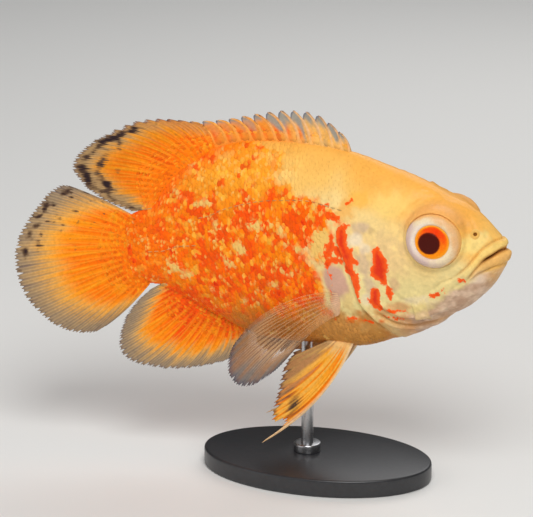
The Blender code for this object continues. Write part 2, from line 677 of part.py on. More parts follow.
def stand():
    """A flat oval base with a rod in a collar, which meets the belly between the pelvic fins."""
    bpy.ops.mesh.primitive_cylinder_add(vertices=BASE_SIDES, radius=0.5, depth=BASE_THICKNESS,
                                        location=(0, 0, BASE_THICKNESS / 2))
    base = bpy.context.object
    base.data.transform(Matrix.Diagonal((BASE_LENGTH, BASE_WIDTH, 1, 1)))
    bevel = base.modifiers.new("Rounded rim", "BEVEL")
    bevel.width = RIM_RADIUS
    bevel.segments = 2
    handed_in(base, "stand_base", black_look)

    foot = BASE_THICKNESS + GAP
    belly = posed(straight(ROD_BACK / MM, 0, bottom_mm(ROD_BACK / MM)))
    top = belly.z + 2 * ROD_RADIUS
    bpy.ops.mesh.primitive_cylinder_add(vertices=ROD_SIDES, radius=ROD_RADIUS, depth=top - foot,
                                        location=(belly.x, belly.y, (top + foot) / 2))
    rod = bpy.context.object
    bpy.ops.mesh.primitive_cylinder_add(vertices=COLLAR_SIDES, radius=COLLAR_RADIUS,
                                        depth=COLLAR_HEIGHT,
                                        location=(belly.x, belly.y, foot + COLLAR_HEIGHT / 2))
    collar = bpy.context.object
    for piece in (rod, collar):
        piece.data.transform(piece.matrix_world)
        piece.matrix_world = Matrix.Identity(4)
    combined(rod, collar, "UNION")
    bpy.data.objects.remove(collar)
    seat = flesh("rod_seat", GAP)
    for v in seat.data.vertices:
        v.co = posed(v.co)
    combined(rod, seat, "DIFFERENCE")
    handed_in(keep_largest(rod), "stand_rod", steel_look)


def main():
    head, jaw, torso, stalk = body_pieces()
    finished(head, "head", pale_skin)
    finished(jaw, "lower_jaw", pale_skin)
    finished(torso, "torso", orange_skin)
    finished(stalk, "tail_stalk", orange_skin)
    for side_name, sign in (("right", -1), ("left", 1)):
        gill_cover(side_name, sign)
        finished(eyeball("eye", sign), "eye_" + side_name, eye_look)
    median_fins()
    paired_fins()
    stand()
    for obj in list(cutters.objects):
        bpy.data.objects.remove(obj)


fish = bpy.data.collections.new("oscar_fish")
cutters = bpy.data.collections.new("cutters")
for home in (fish, cutters):
    bpy.context.scene.collection.children.link(home)
pale_skin = material("pale_skin", PALE_GOLD, 0.35)
orange_skin = material("orange_skin", ORANGE, 0.35)
fin_look = material("fin", ORANGE, 0.45)
clear_look = material("clear_fin", PEACH, 0.45)
eye_look = material("eye", IVORY, 0.12)
black_look = material("black_lacquer", BLACK, 0.3)
steel_look = material("brushed_steel", STEEL, 0.3, 1.0)
main()
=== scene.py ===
# %% [markdown]
# # An oscar fish, swimming over a display stand
#
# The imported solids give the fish's size, pose and parts. This lesson dresses them: one wet skin over
# all the flesh, a coat of real scales, ribbed fins, glossy eyes and a plain lacquered stand.
#
# The fish is drawn straight and level in millimetres as (back, side, up), the way a biologist
# would measure it, and one function then bends it into its swimming pose.

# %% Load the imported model
import itertools
import math

import bpy
import numpy as np
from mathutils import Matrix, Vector


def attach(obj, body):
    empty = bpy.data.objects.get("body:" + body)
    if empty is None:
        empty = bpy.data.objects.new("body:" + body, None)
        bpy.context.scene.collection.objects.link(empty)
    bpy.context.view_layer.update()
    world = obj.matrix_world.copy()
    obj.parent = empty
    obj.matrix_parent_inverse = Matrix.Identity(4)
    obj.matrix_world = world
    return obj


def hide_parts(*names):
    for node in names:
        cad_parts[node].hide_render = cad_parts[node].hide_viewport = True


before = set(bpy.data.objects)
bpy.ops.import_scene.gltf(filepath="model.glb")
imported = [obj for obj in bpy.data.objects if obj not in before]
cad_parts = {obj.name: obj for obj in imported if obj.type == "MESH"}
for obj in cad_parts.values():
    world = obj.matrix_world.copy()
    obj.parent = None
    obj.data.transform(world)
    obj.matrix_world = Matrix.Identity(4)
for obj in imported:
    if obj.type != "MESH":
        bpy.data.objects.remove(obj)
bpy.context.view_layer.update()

MM = 0.001

# %% [markdown]
# ## Curves and noise
#
# A fish's outline is a few measured widths and heights joined by smooth curves. The curve here
# never swings past its own points, so a drawn snout stays a snout. Noise comes from one seeded
# lattice, so each run paints the same fish.

# %% Smooth curves through measured points
def smooth_curve(points):
    """A function through (position, value) pairs that never overshoots between them."""
    xs, ys = np.array(points, float).T
    slopes = np.diff(ys) / np.diff(xs)
    product, total = slopes[:-1] * slopes[1:], slopes[:-1] + slopes[1:]
    inner = np.where(product > 0, 2 * product / np.where(product > 0, total, 1), 0)
    bends = np.concatenate([slopes[:1], inner, slopes[-1:]])

    def value(x):
        x = np.clip(x, xs[0], xs[-1])
        i = np.clip(np.searchsorted(xs, x, side="right") - 1, 0, len(xs) - 2)
        span = xs[i + 1] - xs[i]
        t = (x - xs[i]) / span
        return (ys[i] * (1 + 2 * t) * (1 - t) ** 2 + ys[i + 1] * t * t * (3 - 2 * t)
                + span * (bends[i] * t * (1 - t) ** 2 - bends[i + 1] * t * t * (1 - t)))

    return value


def path_through(points, steps=12):
    """A function from 0..1 to a smooth path through the points, even in arc length."""
    points = np.array(points, float)
    padded = np.vstack([2 * points[0] - points[1], points, 2 * points[-1] - points[-2]])
    t = (np.arange(steps) / steps)[:, None]
    fine = [0.5 * (2 * b + (c - a) * t + (2 * a - 5 * b + 4 * c - d) * t * t
                   + (3 * b - a - 3 * c + d) * t ** 3)
            for a, b, c, d in zip(padded, padded[1:], padded[2:], padded[3:])]
    fine = np.vstack([*fine, points[-1:]])
    lengths = np.concatenate([[0], np.cumsum(np.linalg.norm(np.diff(fine, axis=0), axis=1))])

    def at(share):
        target = np.clip(share, 0, 1) * lengths[-1]
        return np.stack([np.interp(target, lengths, fine[:, k]) for k in range(fine.shape[1])], -1)

    return at


def ease(x, low, high):
    """0 below low, 1 above high and smooth between. low may be the larger one."""
    t = np.clip((x - low) / (high - low), 0, 1)
    return t * t * (3 - 2 * t)


def groove(distance, width):
    """A soft bell, 1 on a line and fading over about the given width to each side of it."""
    return np.exp(-(distance / width) ** 2)


print("halfway up a smooth step:", float(ease(1.5, 1, 2)))

# %% Seeded noise in space
dice = np.random.default_rng(11)
LATTICE_SIZE = 32
LATTICE = dice.random((LATTICE_SIZE,) * 3)


def noise(points, size, octaves=2, shift=0.0):
    """Smooth noise about 0.5, with blotches of about the given size in the points' own units."""
    total, weight = 0.0, 0.0
    for octave in range(octaves):
        q = np.asarray(points, float) / size * 2 ** octave + shift + 7.3 * octave
        cell = np.floor(q).astype(int)
        f = q - cell
        f = f * f * (3 - 2 * f)
        value = 0.0
        for corner in itertools.product((0, 1), repeat=3):
            share = np.prod(np.where(corner, f, 1 - f), axis=-1)
            i, j, k = np.moveaxis((cell + corner) % LATTICE_SIZE, -1, 0)
            value = value + share * LATTICE[i, j, k]
        total = total + value * 0.5 ** octave
        weight += 0.5 ** octave
    return total / weight


print("noise at the origin:", float(noise(np.zeros(3), 1.0)))

# %% [markdown]
# ## The body's measures and its pose
#
# These are the fish's driving measures, the same ones that its solids were built from: the line of
# the back and of the belly, half the width, and how full each cross-section is. The pose bends the
# tail to one side along an arc, tips the fish a little nose up and lifts it to swimming height.

# %% Body outline and pose
TOTAL_LENGTH, BODY_END = 170, 131
TOP = ((0.3, 0.9), (1.3, 2.9), (3, 4.4), (5, 6.6), (7.7, 9.6), (10.5, 12.2), (14, 14.8),
       (18.8, 17.0), (25.4, 20.6), (32, 23.9), (42, 27.9), (52.4, 31.8), (62, 34.0), (75, 35.6),
       (87, 36.2), (98, 34.6), (108, 30.2), (116, 23.6), (122.5, 16.2), (131, 12.6))
BOTTOM = ((0.3, -3.4), (2.5, -6.6), (6.1, -11.6), (13.3, -17.9), (20.5, -21.7), (27.8, -25.9),
          (38.6, -29.8), (55.4, -33.5), (70, -32.6), (85.7, -30.9), (94, -28.0), (107.7, -20.0),
          (115.7, -14.6), (123, -11.2), (131, -10.4))
HALF_WIDTH = ((0.3, 1.6), (2, 3.9), (4, 5.2), (7, 6.5), (11, 7.8), (18, 9.3), (24, 10.3),
              (32, 11.2), (42, 12.0), (54, 12.5), (68, 12.2), (82, 11.0), (96, 8.9),
              (108, 6.4), (118, 4.2), (126, 2.4), (131, 1.4))
WIDEST_LEVEL = ((0.3, -1.5), (12, -4), (30, -3.5), (55, -2), (90, 0.5), (131, 1))
TOP_FULLNESS = ((0.3, 2.0), (12, 2.2), (30, 2.25), (50, 2.0), (75, 1.85), (131, 2.0))
BOTTOM_FULLNESS = ((0.3, 2.0), (12, 1.9), (30, 1.9), (60, 2.1), (90, 2.0), (131, 2.0))
top, bottom, half_width, widest, top_fullness, bottom_fullness = map(
    smooth_curve, (TOP, BOTTOM, HALF_WIDTH, WIDEST_LEVEL, TOP_FULLNESS, BOTTOM_FULLNESS))

HEAD_HEADING, TAIL_HEADING, BEND_START = math.radians(-5), math.radians(19), 40
PITCH, BALANCE_POINT, HEIGHT = math.radians(6.3), 66, 77


def posed(points):
    """Where (back, side, up) points in millimetres come to lie in the pose, in metres."""
    back, side, up = np.moveaxis(np.asarray(points, float), -1, 0)
    turn = (TAIL_HEADING - HEAD_HEADING) / (TOTAL_LENGTH - BEND_START)
    heading = HEAD_HEADING + turn * np.maximum(back - BEND_START, 0)
    ahead = np.maximum(BEND_START - back, 0)
    x = ahead * math.cos(HEAD_HEADING) - (np.sin(heading) - math.sin(HEAD_HEADING)) / turn
    y = ahead * math.sin(HEAD_HEADING) - (math.cos(HEAD_HEADING) - np.cos(heading)) / turn
    x = x + BALANCE_POINT - BEND_START - side * np.sin(heading)
    y = y + side * np.cos(heading)
    return np.stack([x * math.cos(PITCH) - up * math.sin(PITCH), y,
                     x * math.sin(PITCH) + up * math.cos(PITCH) + HEIGHT], -1) * MM


def side_at(back, up):
    """Half the body's width at this place on its side."""
    middle = widest(back)
    high = up > middle
    height = np.where(high, top(back) - middle, middle - bottom(back))
    power = np.where(high, top_fullness(back), bottom_fullness(back))
    share = np.clip(np.abs(up - middle) / height, 0, 1)
    return half_width(back) * (1 - share ** power) ** (1 / power)


print("snout at", posed([0.3, 0, -1]).round(4), "tail tip at", posed([170, 0, 0]).round(4))

# %% [markdown]
# ## Working by hand and by number
#
# Each piece starts as a primitive in an empty selection. Where a surface follows a formula, as skin
# and fins do, its vertices are then moved by number, because no brush stroke is that exact.

# %% Small helpers for objects
UNMARKED, FULLY_MARKED = -3.0, 3.0  # the least and most depth in a mark, in millimetres


def added(operator, **settings):
    """Adds a primitive with nothing else selected, and returns it."""
    if bpy.context.object and bpy.context.object.mode == "EDIT":
        bpy.ops.object.mode_set(mode="OBJECT")
    bpy.ops.object.select_all(action="DESELECT")
    operator(**settings)
    return bpy.context.object


def places_of(obj):
    """The places of a mesh's vertices, one row each."""
    flat = np.empty(len(obj.data.vertices) * 3)
    obj.data.vertices.foreach_get("co", flat)
    return flat.reshape(-1, 3)


def move_vertices(obj, places):
    obj.data.vertices.foreach_set("co", np.asarray(places, float).ravel())
    obj.data.update()


def select_only(obj):
    """Makes one object the active and only selected one, because operators act on what is selected."""
    bpy.ops.object.select_all(action="DESELECT")
    bpy.context.view_layer.objects.active = obj
    obj.select_set(True)


def face_outwards(obj):
    """Recalculates the normals of a closed mesh so that they point out."""
    select_only(obj)
    bpy.ops.object.mode_set(mode="EDIT")
    bpy.ops.mesh.select_all(action="SELECT")
    bpy.ops.mesh.normals_make_consistent(inside=False)
    bpy.ops.object.mode_set(mode="OBJECT")


def apply_all(obj):
    """Applies the object's modifiers in their order."""
    select_only(obj)
    for modifier in list(obj.modifiers):
        bpy.ops.object.modifier_apply(modifier=modifier.name)


def store(obj, name, values):
    """Keeps one number or one colour for each vertex under a name that materials can read."""
    values = np.asarray(values, float)
    if values.ndim == 1:
        obj.data.attributes.new(name, "FLOAT", "POINT").data.foreach_set("value", values)
        return
    colours = np.ones((len(values), 4))
    colours[:, :3] = values
    obj.data.attributes.new(name, "FLOAT_COLOR", "POINT").data.foreach_set("color", colours.ravel())


def store_look(obj, paint, mark=None, pale=None):
    """Keeps a piece's paint and how deep it lies in red or dark marks and in pale ones."""
    store(obj, "paint", paint)
    for name, field in (("mark", mark), ("pale", pale)):
        store(obj, name, np.full(len(obj.data.vertices), UNMARKED) if field is None else field)


def finish_piece(obj, name, look, slot, *nodes):
    """Names a piece, gives it its material, and puts it in the place of its solids."""
    obj.name = name
    obj.data.name = name
    obj.data.materials.clear()
    obj.data.materials.append(look)
    obj.data.shade_smooth()
    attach(obj, "root")
    if nodes:
        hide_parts(*nodes)
    triangles = sum(len(face.vertices) - 2 for face in obj.data.polygons)
    print(f"{name}: {triangles} triangles")


# %% [markdown]
# ## Colours and finishes
#
# The colours are read off the animal as sRGB hex values. One function turns them to the linear
# values that light adds up in, and one function adds a node with its settings and links.

# %% Colour and node helpers
def linear(code):
    """A hex colour as linear red, green and blue."""
    srgb = np.array([int(code[i:i + 2], 16) for i in (0, 2, 4)]) / 255
    return np.where(srgb <= 0.04045, srgb / 12.92, ((srgb + 0.055) / 1.055) ** 2.4)


def blend(below, above, share):
    """Lays one colour over another by a share for each point."""
    share = np.clip(np.asarray(share, float), 0, 1)[..., None]
    return below * (1 - share) + above * share


def layered(colour, *layers):
    """Lays colours over one another in order, each given with its share for each point."""
    for tint, share in layers:
        colour = blend(colour, tint, share)
    return colour


def opaque(code):
    """A hex colour as a node's colour socket takes it."""
    return (*linear(code), 1)


def new_material(name, **uniform):
    """A material, its node tree and its shader, with what is the same all over set on the shader."""
    look = bpy.data.materials.new(name)
    look.use_nodes = True
    shader = look.node_tree.nodes["Principled BSDF"]
    for socket, value in uniform.items():
        shader.inputs[socket.replace("_", " ")].default_value = value
    return look, look.node_tree, shader


def node(tree, kind, settings=None, **links):
    """Adds a node. settings are its properties, and links its inputs, as values or as sockets."""
    made = tree.nodes.new("ShaderNode" + kind)
    for key, value in (settings or {}).items():
        setattr(made, key, value)
    for key, value in links.items():
        socket = made.inputs[int(key[1:])] if key[1:].isdigit() else made.inputs[key.replace("_", " ")]
        if isinstance(value, bpy.types.NodeSocket):
            tree.links.new(value, socket)
        else:
            socket.default_value = value
    return made


print("cream skin as light:", linear("F3D088").round(3))

# %% Lines on the side of the fish
LINE_STEPS, FAR_AWAY, AT_ONCE = 72, 99.0, 20000  # steps along a line, millimetres, points at a time


def from_line(points, line, reach=12.0):
    """How far (back, up) points are from a smooth line, the share along it, and a signed distance
    that is positive to the left of the way that the line runs. Past its reach a point is far away."""
    corners = path_through(line)(np.linspace(0, 1, LINE_STEPS))
    flat = points.reshape(-1, points.shape[-1])
    away, signed = np.full(len(flat), FAR_AWAY), np.full(len(flat), FAR_AWAY)
    share = np.zeros(len(flat))
    low, high = corners.min(0) - reach, corners.max(0) + reach
    near = np.where(((flat > low) & (flat < high)).all(1))[0]
    a, along = corners[:-1], np.diff(corners, axis=0)
    for part in np.array_split(near, max(1, len(near) // AT_ONCE)):
        q = flat[part][:, None] - a
        t = np.clip((q * along).sum(-1) / (along ** 2).sum(-1), 0, 1)
        gap = q - t[..., None] * along
        distance = np.linalg.norm(gap, axis=-1)
        best = distance.argmin(1)
        rows = np.arange(len(part))
        away[part] = distance[rows, best]
        share[part] = (best + t[rows, best]) / len(along)
        cross = along[best, 0] * gap[rows, best, 1] - along[best, 1] * gap[rows, best, 0]
        signed[part] = np.sign(cross) * distance[rows, best]
    shape = points.shape[:-1]
    return away.reshape(shape), share.reshape(shape), signed.reshape(shape)


# %% Folds and edges of the head, each a line in (back, up)
MOUTH_LINE = ((-4, 0.5), (1.2, 0.1), (4.1, -1.2), (5.9, -2.1), (7.5, -3.4), (10.2, -6.2), (12.5, -8.8))
UPPER_GROOVE = ((-4, 3.4), (2.3, 3.4), (3.8, 3.1), (5.9, 1.9), (7.3, 0.8), (8.9, -1.0), (10.6, -2.8),
                (12.2, -4.5), (14.8, -6.5), (17.4, -8.2))
LOWER_GROOVE = ((-4, -4.6), (1.8, -4.6), (4.2, -4.9), (5.6, -5.5), (7.0, -6.0), (9.0, -6.9), (11.5, -8.9))
CHEEK_CREASE = ((17.4, -8.2), (20.5, -9.3), (23.5, -11.4), (27.5, -12.6))
CHEEK_CREASE_LOW = ((13.4, -9.4), (17, -11.2), (20.4, -13.6))
LIGHT_FOLD = ((43, -15.5), (40.6, -17.2), (36.5, -20.4), (31.9, -21.2), (28.5, -20.4), (24.5, -19.5),
              (19, -17.5))
DARK_FOLD = ((44, -19), (40.7, -21.8), (37.8, -23.6), (33.4, -24.6), (28.4, -24.0), (25.4, -23.4),
             (20, -20.8))
PREOPERCLE = ((37.5, 7), (38.6, 0), (38.2, -7), (36.4, -12.5), (32, -16), (25, -17.2))


def lip_share(plane, low, high):
    """A rounded band between two lines: 0 on both and 1 halfway, fading at the mouth's corner."""
    a, along, over_low = from_line(plane, low, reach=14)
    b, _, over_high = from_line(plane, high, reach=14)
    across = np.clip(a / np.maximum(a + b, 1e-6), 0, 1)
    inside = (over_low > 0) & (over_high < 0)
    return np.where(inside, np.sin(np.pi * across), 0) * (1 - 0.45 * along) * ease(along, 1.02, 0.88)


# %% Where the eyes sit
EYE_BACK, EYE_UP, EYE_SIDE, EYE_FORWARD_TURN = 21.5, 5.1, 9.0, math.radians(9)


def eye_frame(sign):
    """The centre of an eye and the way it looks out, in the straight fish."""
    axis = np.array([-math.sin(EYE_FORWARD_TURN), sign * math.cos(EYE_FORWARD_TURN), 0])
    return np.array([EYE_BACK, sign * EYE_SIDE, EYE_UP]), axis


def from_eye(points, sign):
    """The distance from an eye's axis, the height along it, and the axis."""
    centre, axis = eye_frame(sign)
    offset = points - centre
    height = offset @ axis
    return np.linalg.norm(offset - height[..., None] * axis, axis=-1), height, axis


print("the right eye looks along", eye_frame(-1)[1].round(3))

# %% [markdown]
# ## The animal's markings
#
# An orange oscar is pale gold on the head, and from the gill cover back each scale is orange,
# red-orange or cream. Skin, scales and fins all ask the same functions for their colour, so they
# match wherever they meet. Places are in (back, up), as the side of the fish shows them.

# %% Red and pale marks
GILL_EDGE = ((46, 12.6), (50.4, 11.0), (54.2, 8.8), (54.6, 4.8), (52.9, -0.4), (51, -5.8),
             (50.2, -10), (49.3, -15), (47.2, -19), (45.1, -21.9), (43.3, -23.8), (41.0, -26.6))
COAT_FRONT = ((28, 40), (34, 27), (42, 21), (48, 16.5), (52, 12.6), (56, 9), (56.4, 4.5), (54.6, -1),
              (53, -7), (52.4, -13), (51, -18), (48.5, -22.5), (45, -26.5), (41, -31), (38, -40))
# Behind this line the flank is orange, and ahead of it plain gold
FLANK_FRONT = ((86, 42), (80, 34), (75, 27), (71, 22.5), (65, 18.5), (60, 15), (57.5, 11), (60, 7.5),
               (63.5, 4), (64, 0), (60.5, -3), (60.5, -9), (61, -15), (57, -19), (50, -22), (45, -27),
               (43, -38))
# Below this line the lower jaw and the gill membrane are pinkish
CHIN_LINE = ((-4, -5.2), (4, -5.6), (8, -6.4), (12.6, -9.3), (18, -12.2), (24, -16.2), (30, -19),
             (38, -19.4), (44, -21.5), (50, -26))

# Each mark is a line in (back, up) with its half widths along it, all in millimetres
RED_MARKS = (
    (((50.4, 10.2), (52.4, 8.4), (52.7, 6.2), (52.6, 3.4), (51.7, 1.0), (51.1, -1.4), (50.7, -4.3),
      (49.2, -7.4), (49.0, -9.8), (49.3, -13.3), (48.2, -15.8)),
     (0.6, 1.8, 2.1, 1.8, 2.1, 1.7, 1.4, 1.5, 1.3, 0.8, 0.4)),
    (((49.9, 1.7), (50.8, 0.6)), (0.9, 0.9)),
    (((48.2, -2.1), (50, -1.6)), (0.85, 0.7)),
    (((40.4, 1.7), (40.6, -0.4), (39.9, -2.9), (40.5, -5.7), (39.6, -8.1)), (1.3, 2.0, 2.6, 2.9, 1.6)),
    (((42.8, -11.9), (43.5, -15.1), (42.3, -17.2)), (1.6, 2.2, 1.1)),
    (((38.0, -10.7), (38.2, -13.0), (37.6, -14.7)), (1.1, 1.5, 0.5)),
    (((24.2, -13.6), (22.4, -13.1)), (0.9, 0.9)),
    (((20.6, -12.1), (20.0, -11.8)), (0.6, 0.5)),
    (((14.9, -8.4), (13.4, -8.9)), (0.85, 0.8)),
    (((36.4, -18.6), (33.6, -19.2)), (0.3, 0.5)),
    (((41.6, -20.6), (38.6, -21.6), (35.6, -22.0)), (0.3, 0.5, 0.2)),
    (((59, -2.9), (56.7, -1.3), (53.5, -1.7)), (1.3, 1.2, 0.9)),
    (((58.4, 0.8), (57.0, 3.6), (56.6, 6.4)), (1.7, 1.5, 0.9)),
    (((55.2, 2.2), (54.4, 0.4)), (1.3, 1.2)),
    (((56.6, 12.8), (54.4, 12.0)), (1.3, 1.1)),
    (((51.0, 16.6), (48.8, 17.8)), (0.35, 0.35)),
    (((57.8, 16.2), (59.8, 15.2)), (1.0, 1.1)),
    (((49.2, -22.2), (46.4, -23.0)), (0.3, 0.5)),
    (((54.0, -21.8), (51.6, -21.4)), (0.4, 0.4)),
    (((39.6, -18.6), (37.4, -19.2)), (0.4, 0.4)),
)
# Pale patches in the same way
PALE_MARKS = (
    (((60.2, 6.0), (61.5, 3.6), (62.2, 1.2)), (3.0, 3.4, 2.2)),
    (((84.9, 10.6), (83.6, 10.2)), (2.0, 1.8)),
    (((90.8, 3.2), (89.8, 0.8)), (1.9, 1.6)),
    (((118.0, -3.4), (114.2, -5.2), (110.4, -7.6)), (0.8, 1.5, 1.3)),
    (((102.7, -11.8), (102.3, -12.0)), (0.9, 0.8)),
    (((91.9, -16.0), (91.6, -16.2)), (1.0, 0.9)),
    (((98.6, 9.8), (97.4, 8.8)), (1.2, 1.0)),
    (((78.4, 10.4), (77.8, 10.0)), (0.8, 0.9)),
    (((74.4, 8.4), (73.4, 7.2)), (1.0, 0.9)),
    (((68.8, 2.6), (68.4, 2.0)), (1.3, 1.2)),
    (((74.2, -5.8), (73.6, -6.4)), (1.3, 1.2)),
    (((79.5, -9.6), (79.0, -10.2)), (1.0, 1.0)),
    (((96.5, -1.5), (94.0, -3.0)), (0.9, 1.2)),
    (((106.0, 16.5), (103.0, 17.2), (99.5, 17.0)), (0.5, 0.9, 0.6)),
)


def marked(points, marks):
    """How deep inside the marks each point lies, in millimetres, and below 0 outside."""
    plane = points[..., [0, 2]]
    field = np.full(plane.shape[:-1], UNMARKED)
    for line, widths in marks:
        away, share, _ = from_line(plane, line, reach=6.0)
        half = np.interp(share, np.linspace(0, 1, len(widths)), widths)
        field = np.maximum(field, half - away)
    return field


def flank_share(points):
    """1 on the orange flank and 0 on the plain head and nape, with a ragged border."""
    behind = from_line(points[..., [0, 2]], FLANK_FRONT, reach=130)[2]
    ragged = 16 * (noise(points, 3.6, 3, 3.1) - 0.5) + 9 * (noise(points, 11) - 0.5)
    return ease(behind + ragged, -2.2, 2.2)


def flame_level(points):
    """Where red-orange is common on the flank: most along its middle, behind the gill cover."""
    back, _, up = np.moveaxis(points, -1, 0)
    return ease(up, 27, 14) * ease(up, -24, -10) * (0.5 + 0.5 * groove(back - 76, 26))


def limited(field):
    return np.clip(field, UNMARKED, FULLY_MARKED)


def with_cloud(points, field, cloud):
    """Adds to the marks the blotches that cloud the flank alone."""
    return limited(np.maximum(field, np.where(flank_share(points) > 0.5, cloud, UNMARKED)))


def red_field(points):
    """The red marks, and behind them the red-orange that clouds the flank."""
    field = marked(points, RED_MARKS) + 1.6 * (noise(points, 1.7, 3) - 0.5)
    return with_cloud(points, field, 9 * (noise(points, 3.0, 3, 12.4) - 0.84 + 0.22 * flame_level(points)))


def pale_field(points):
    """Cream patches on the orange flank."""
    field = marked(points, PALE_MARKS) + 2.0 * (noise(points, 1.9, 2, 4.4) - 0.5)
    return with_cloud(points, field, 9 * (noise(points, 2.2, 3, 21.7) - 0.76))


print("flames on mid-flank:", round(float(flame_level(np.array([76.0, 0, 0]))), 2))

# %% Skin colour at any place on the body
CREAM, CHEEK, FOREHEAD, NAPE = map(linear, ("F3D088", "EED894", "F5AE4C", "F6BE62"))
SNOUT, LIP, LOWER_LIP, CHIN = map(linear, ("FAC860", "F8D67E", "EDB46C", "C69C84"))
CHIN_PINK, FLECK_GOLD, RUST, STRAW = map(linear, ("EBCDB4", "F2AC4C", "C0803E", "FCE08C"))
BACK_GOLD, ORANGE, DEEP_ORANGE, FLAME = map(linear, ("FB9C22", "FC8204", "FA6400", "F54E03"))
# The belly's brown, the mouth's brown and the fold brown are painted shade: of the underside, of the
# mouth's slit and of the creases
SHADED_BELLY, PAD, BREAST, MOUTH_SHADE = map(linear, ("CC7A28", "CFA28A", "CF9148", "A86A32"))
MILK, LAVENDER, CREASE_SHADE = map(linear, ("F6E0BC", "D2B294", "C98A3C"))
# Soft patches on the head as (back, up, reach along, reach up, colour, strength)
HEAD_TINTS = (
    (40.0, 0.0, 9.5, 9.0, linear("EDC78C"), 0.7), (52.4, 14.2, 4.6, 4.4, FLECK_GOLD, 0.7),
    (46.0, 17.6, 4.0, 2.6, linear("F8B544"), 0.6), (36.0, 15.5, 7.0, 4.0, linear("FAD478"), 0.6),
    (47.8, 5.2, 2.6, 2.4, MILK, 0.9), (45.0, 2.6, 2.4, 2.2, MILK, 0.7),
    (45.6, 9.4, 3.6, 1.9, LAVENDER, 0.75), (42.2, 8.2, 1.6, 1.2, linear("D6B478"), 0.7),
    (46.0, -2.6, 2.4, 4.4, LAVENDER, 0.6), (44.6, -9.5, 2.4, 4.6, LAVENDER, 0.7),
    (46.6, -14.6, 2.0, 2.6, MILK, 0.6), (36.6, -9.2, 2.4, 3.4, linear("DDB284"), 0.7),
    (42.6, -18.8, 4.6, 2.6, linear("CC9460"), 0.75), (36.4, -17.4, 4.6, 2.0, linear("DE9C62"), 0.7),
    (48.4, -21.6, 3.6, 2.8, RUST, 0.7), (53.0, -14.6, 2.2, 3.4, linear("EBCB84"), 0.8),
    (10.0, 2.8, 4.6, 3.4, STRAW, 0.75), (16.6, -5.6, 6.5, 3.0, linear("F2DC98"), 0.6),
    (28.0, -15.2, 6.0, 1.8, MILK, 0.5))


def from_pad(points):
    """1 at the rim of the smooth pad that the pectoral fin grows from, and less inside."""
    back, up = points[..., 0], points[..., 2]
    return np.hypot((back - 56.4) / 4.6, (up + 9.0 - 0.25 * (back - 56)) / 6.0)


def gold_head(points, wander, mottle, fine):
    """The plain gold head and nape with their soft patches."""
    back, _, up = np.moveaxis(points, -1, 0)
    below_back = top(back) - up
    colour = layered(CREAM, (CHEEK, ease(up + 8 * wander, 0, -10)),
                     (SNOUT, ease(back + 6 * wander, 17, 9) * ease(up, -2, 4)),
                     (NAPE, ease(below_back + 18 * wander, 20, 8)),
                     (FOREHEAD, ease(below_back + 10 * wander, 10, 1) * ease(back, 4, 12)))
    for tint_back, tint_up, along, high, tint, strength in HEAD_TINTS:
        away = np.hypot((back - tint_back) / along, (up - tint_up) / high)
        away = away + (1.5 * mottle + 0.6 * wander + 0.4 * fine)
        colour = blend(colour, tint, ease(away, 1.3, 0.45) * strength)
    return colour


def orange_flank(points, wander, mottle, fine):
    """Orange with clouds of red-orange and honey, gold under the back, and browner at the belly as painted
    shade of the underside.
    """
    back, _, up = np.moveaxis(points, -1, 0)
    below_back = top(back) - up
    high = ease(below_back + 22 * wander + 14 * mottle, 19, 8) * ease(back, 116, 100)
    near_fin = ease(below_back + 6 * mottle, 7, 1) * ease(back, 78, 100)
    flames = noise(points, 2.9, 3, 33.1) - 0.5 + 0.16 * (flame_level(points) - 0.5)
    honey = noise(points, 1.9, 2, 41.7) - 0.5
    low = ease(up + 14 * mottle, -15, -25)
    return layered(
        ORANGE, (DEEP_ORANGE, ease(mottle + 0.5 * fine + 0.35 * wander, -0.06, 0.16)),
        (BACK_GOLD, high), (NAPE, high * ease(mottle + fine, 0.08, 0.2) * 0.5),
        (DEEP_ORANGE, near_fin * 0.8),
        (FLAME, ease(flames, 0.025, 0.12) * 0.85 * ease(back, 128, 118)),
        (linear("FEB438"), ease(honey, 0.1, 0.22) * 0.75 * ease(up, -20, -8)),
        # The last layer browns the underside: painted shade
        (DEEP_ORANGE, ease(back + 20 * mottle, 106, 124) * 0.4), (SHADED_BELLY, low * ease(back, 112, 90)))


def pink_chin(points, mottle, fine):
    """The lower jaw and the pleats behind it: mauve and pink, and orange-tan at the rear."""
    back, _, up = np.moveaxis(points, -1, 0)
    return layered(
        CHIN, (CHIN_PINK, ease(mottle + 0.3 * fine, -0.2, 0.3) * 0.65),
        (CHIN_PINK, ease(np.hypot((back - 9.6) / 3.6, (up + 8.4) / 1.8), 1.3, 0.5)),
        (LOWER_LIP, ease(back, 8.5, 4) * 0.7),
        (linear("D08C4A"), ease(back + 10 * mottle, 30, 35) * 0.7),
        (MILK, ease(noise(points * (0.45, 1, 1), 0.7, 2, 51.3), 0.6, 0.72) * 0.3))


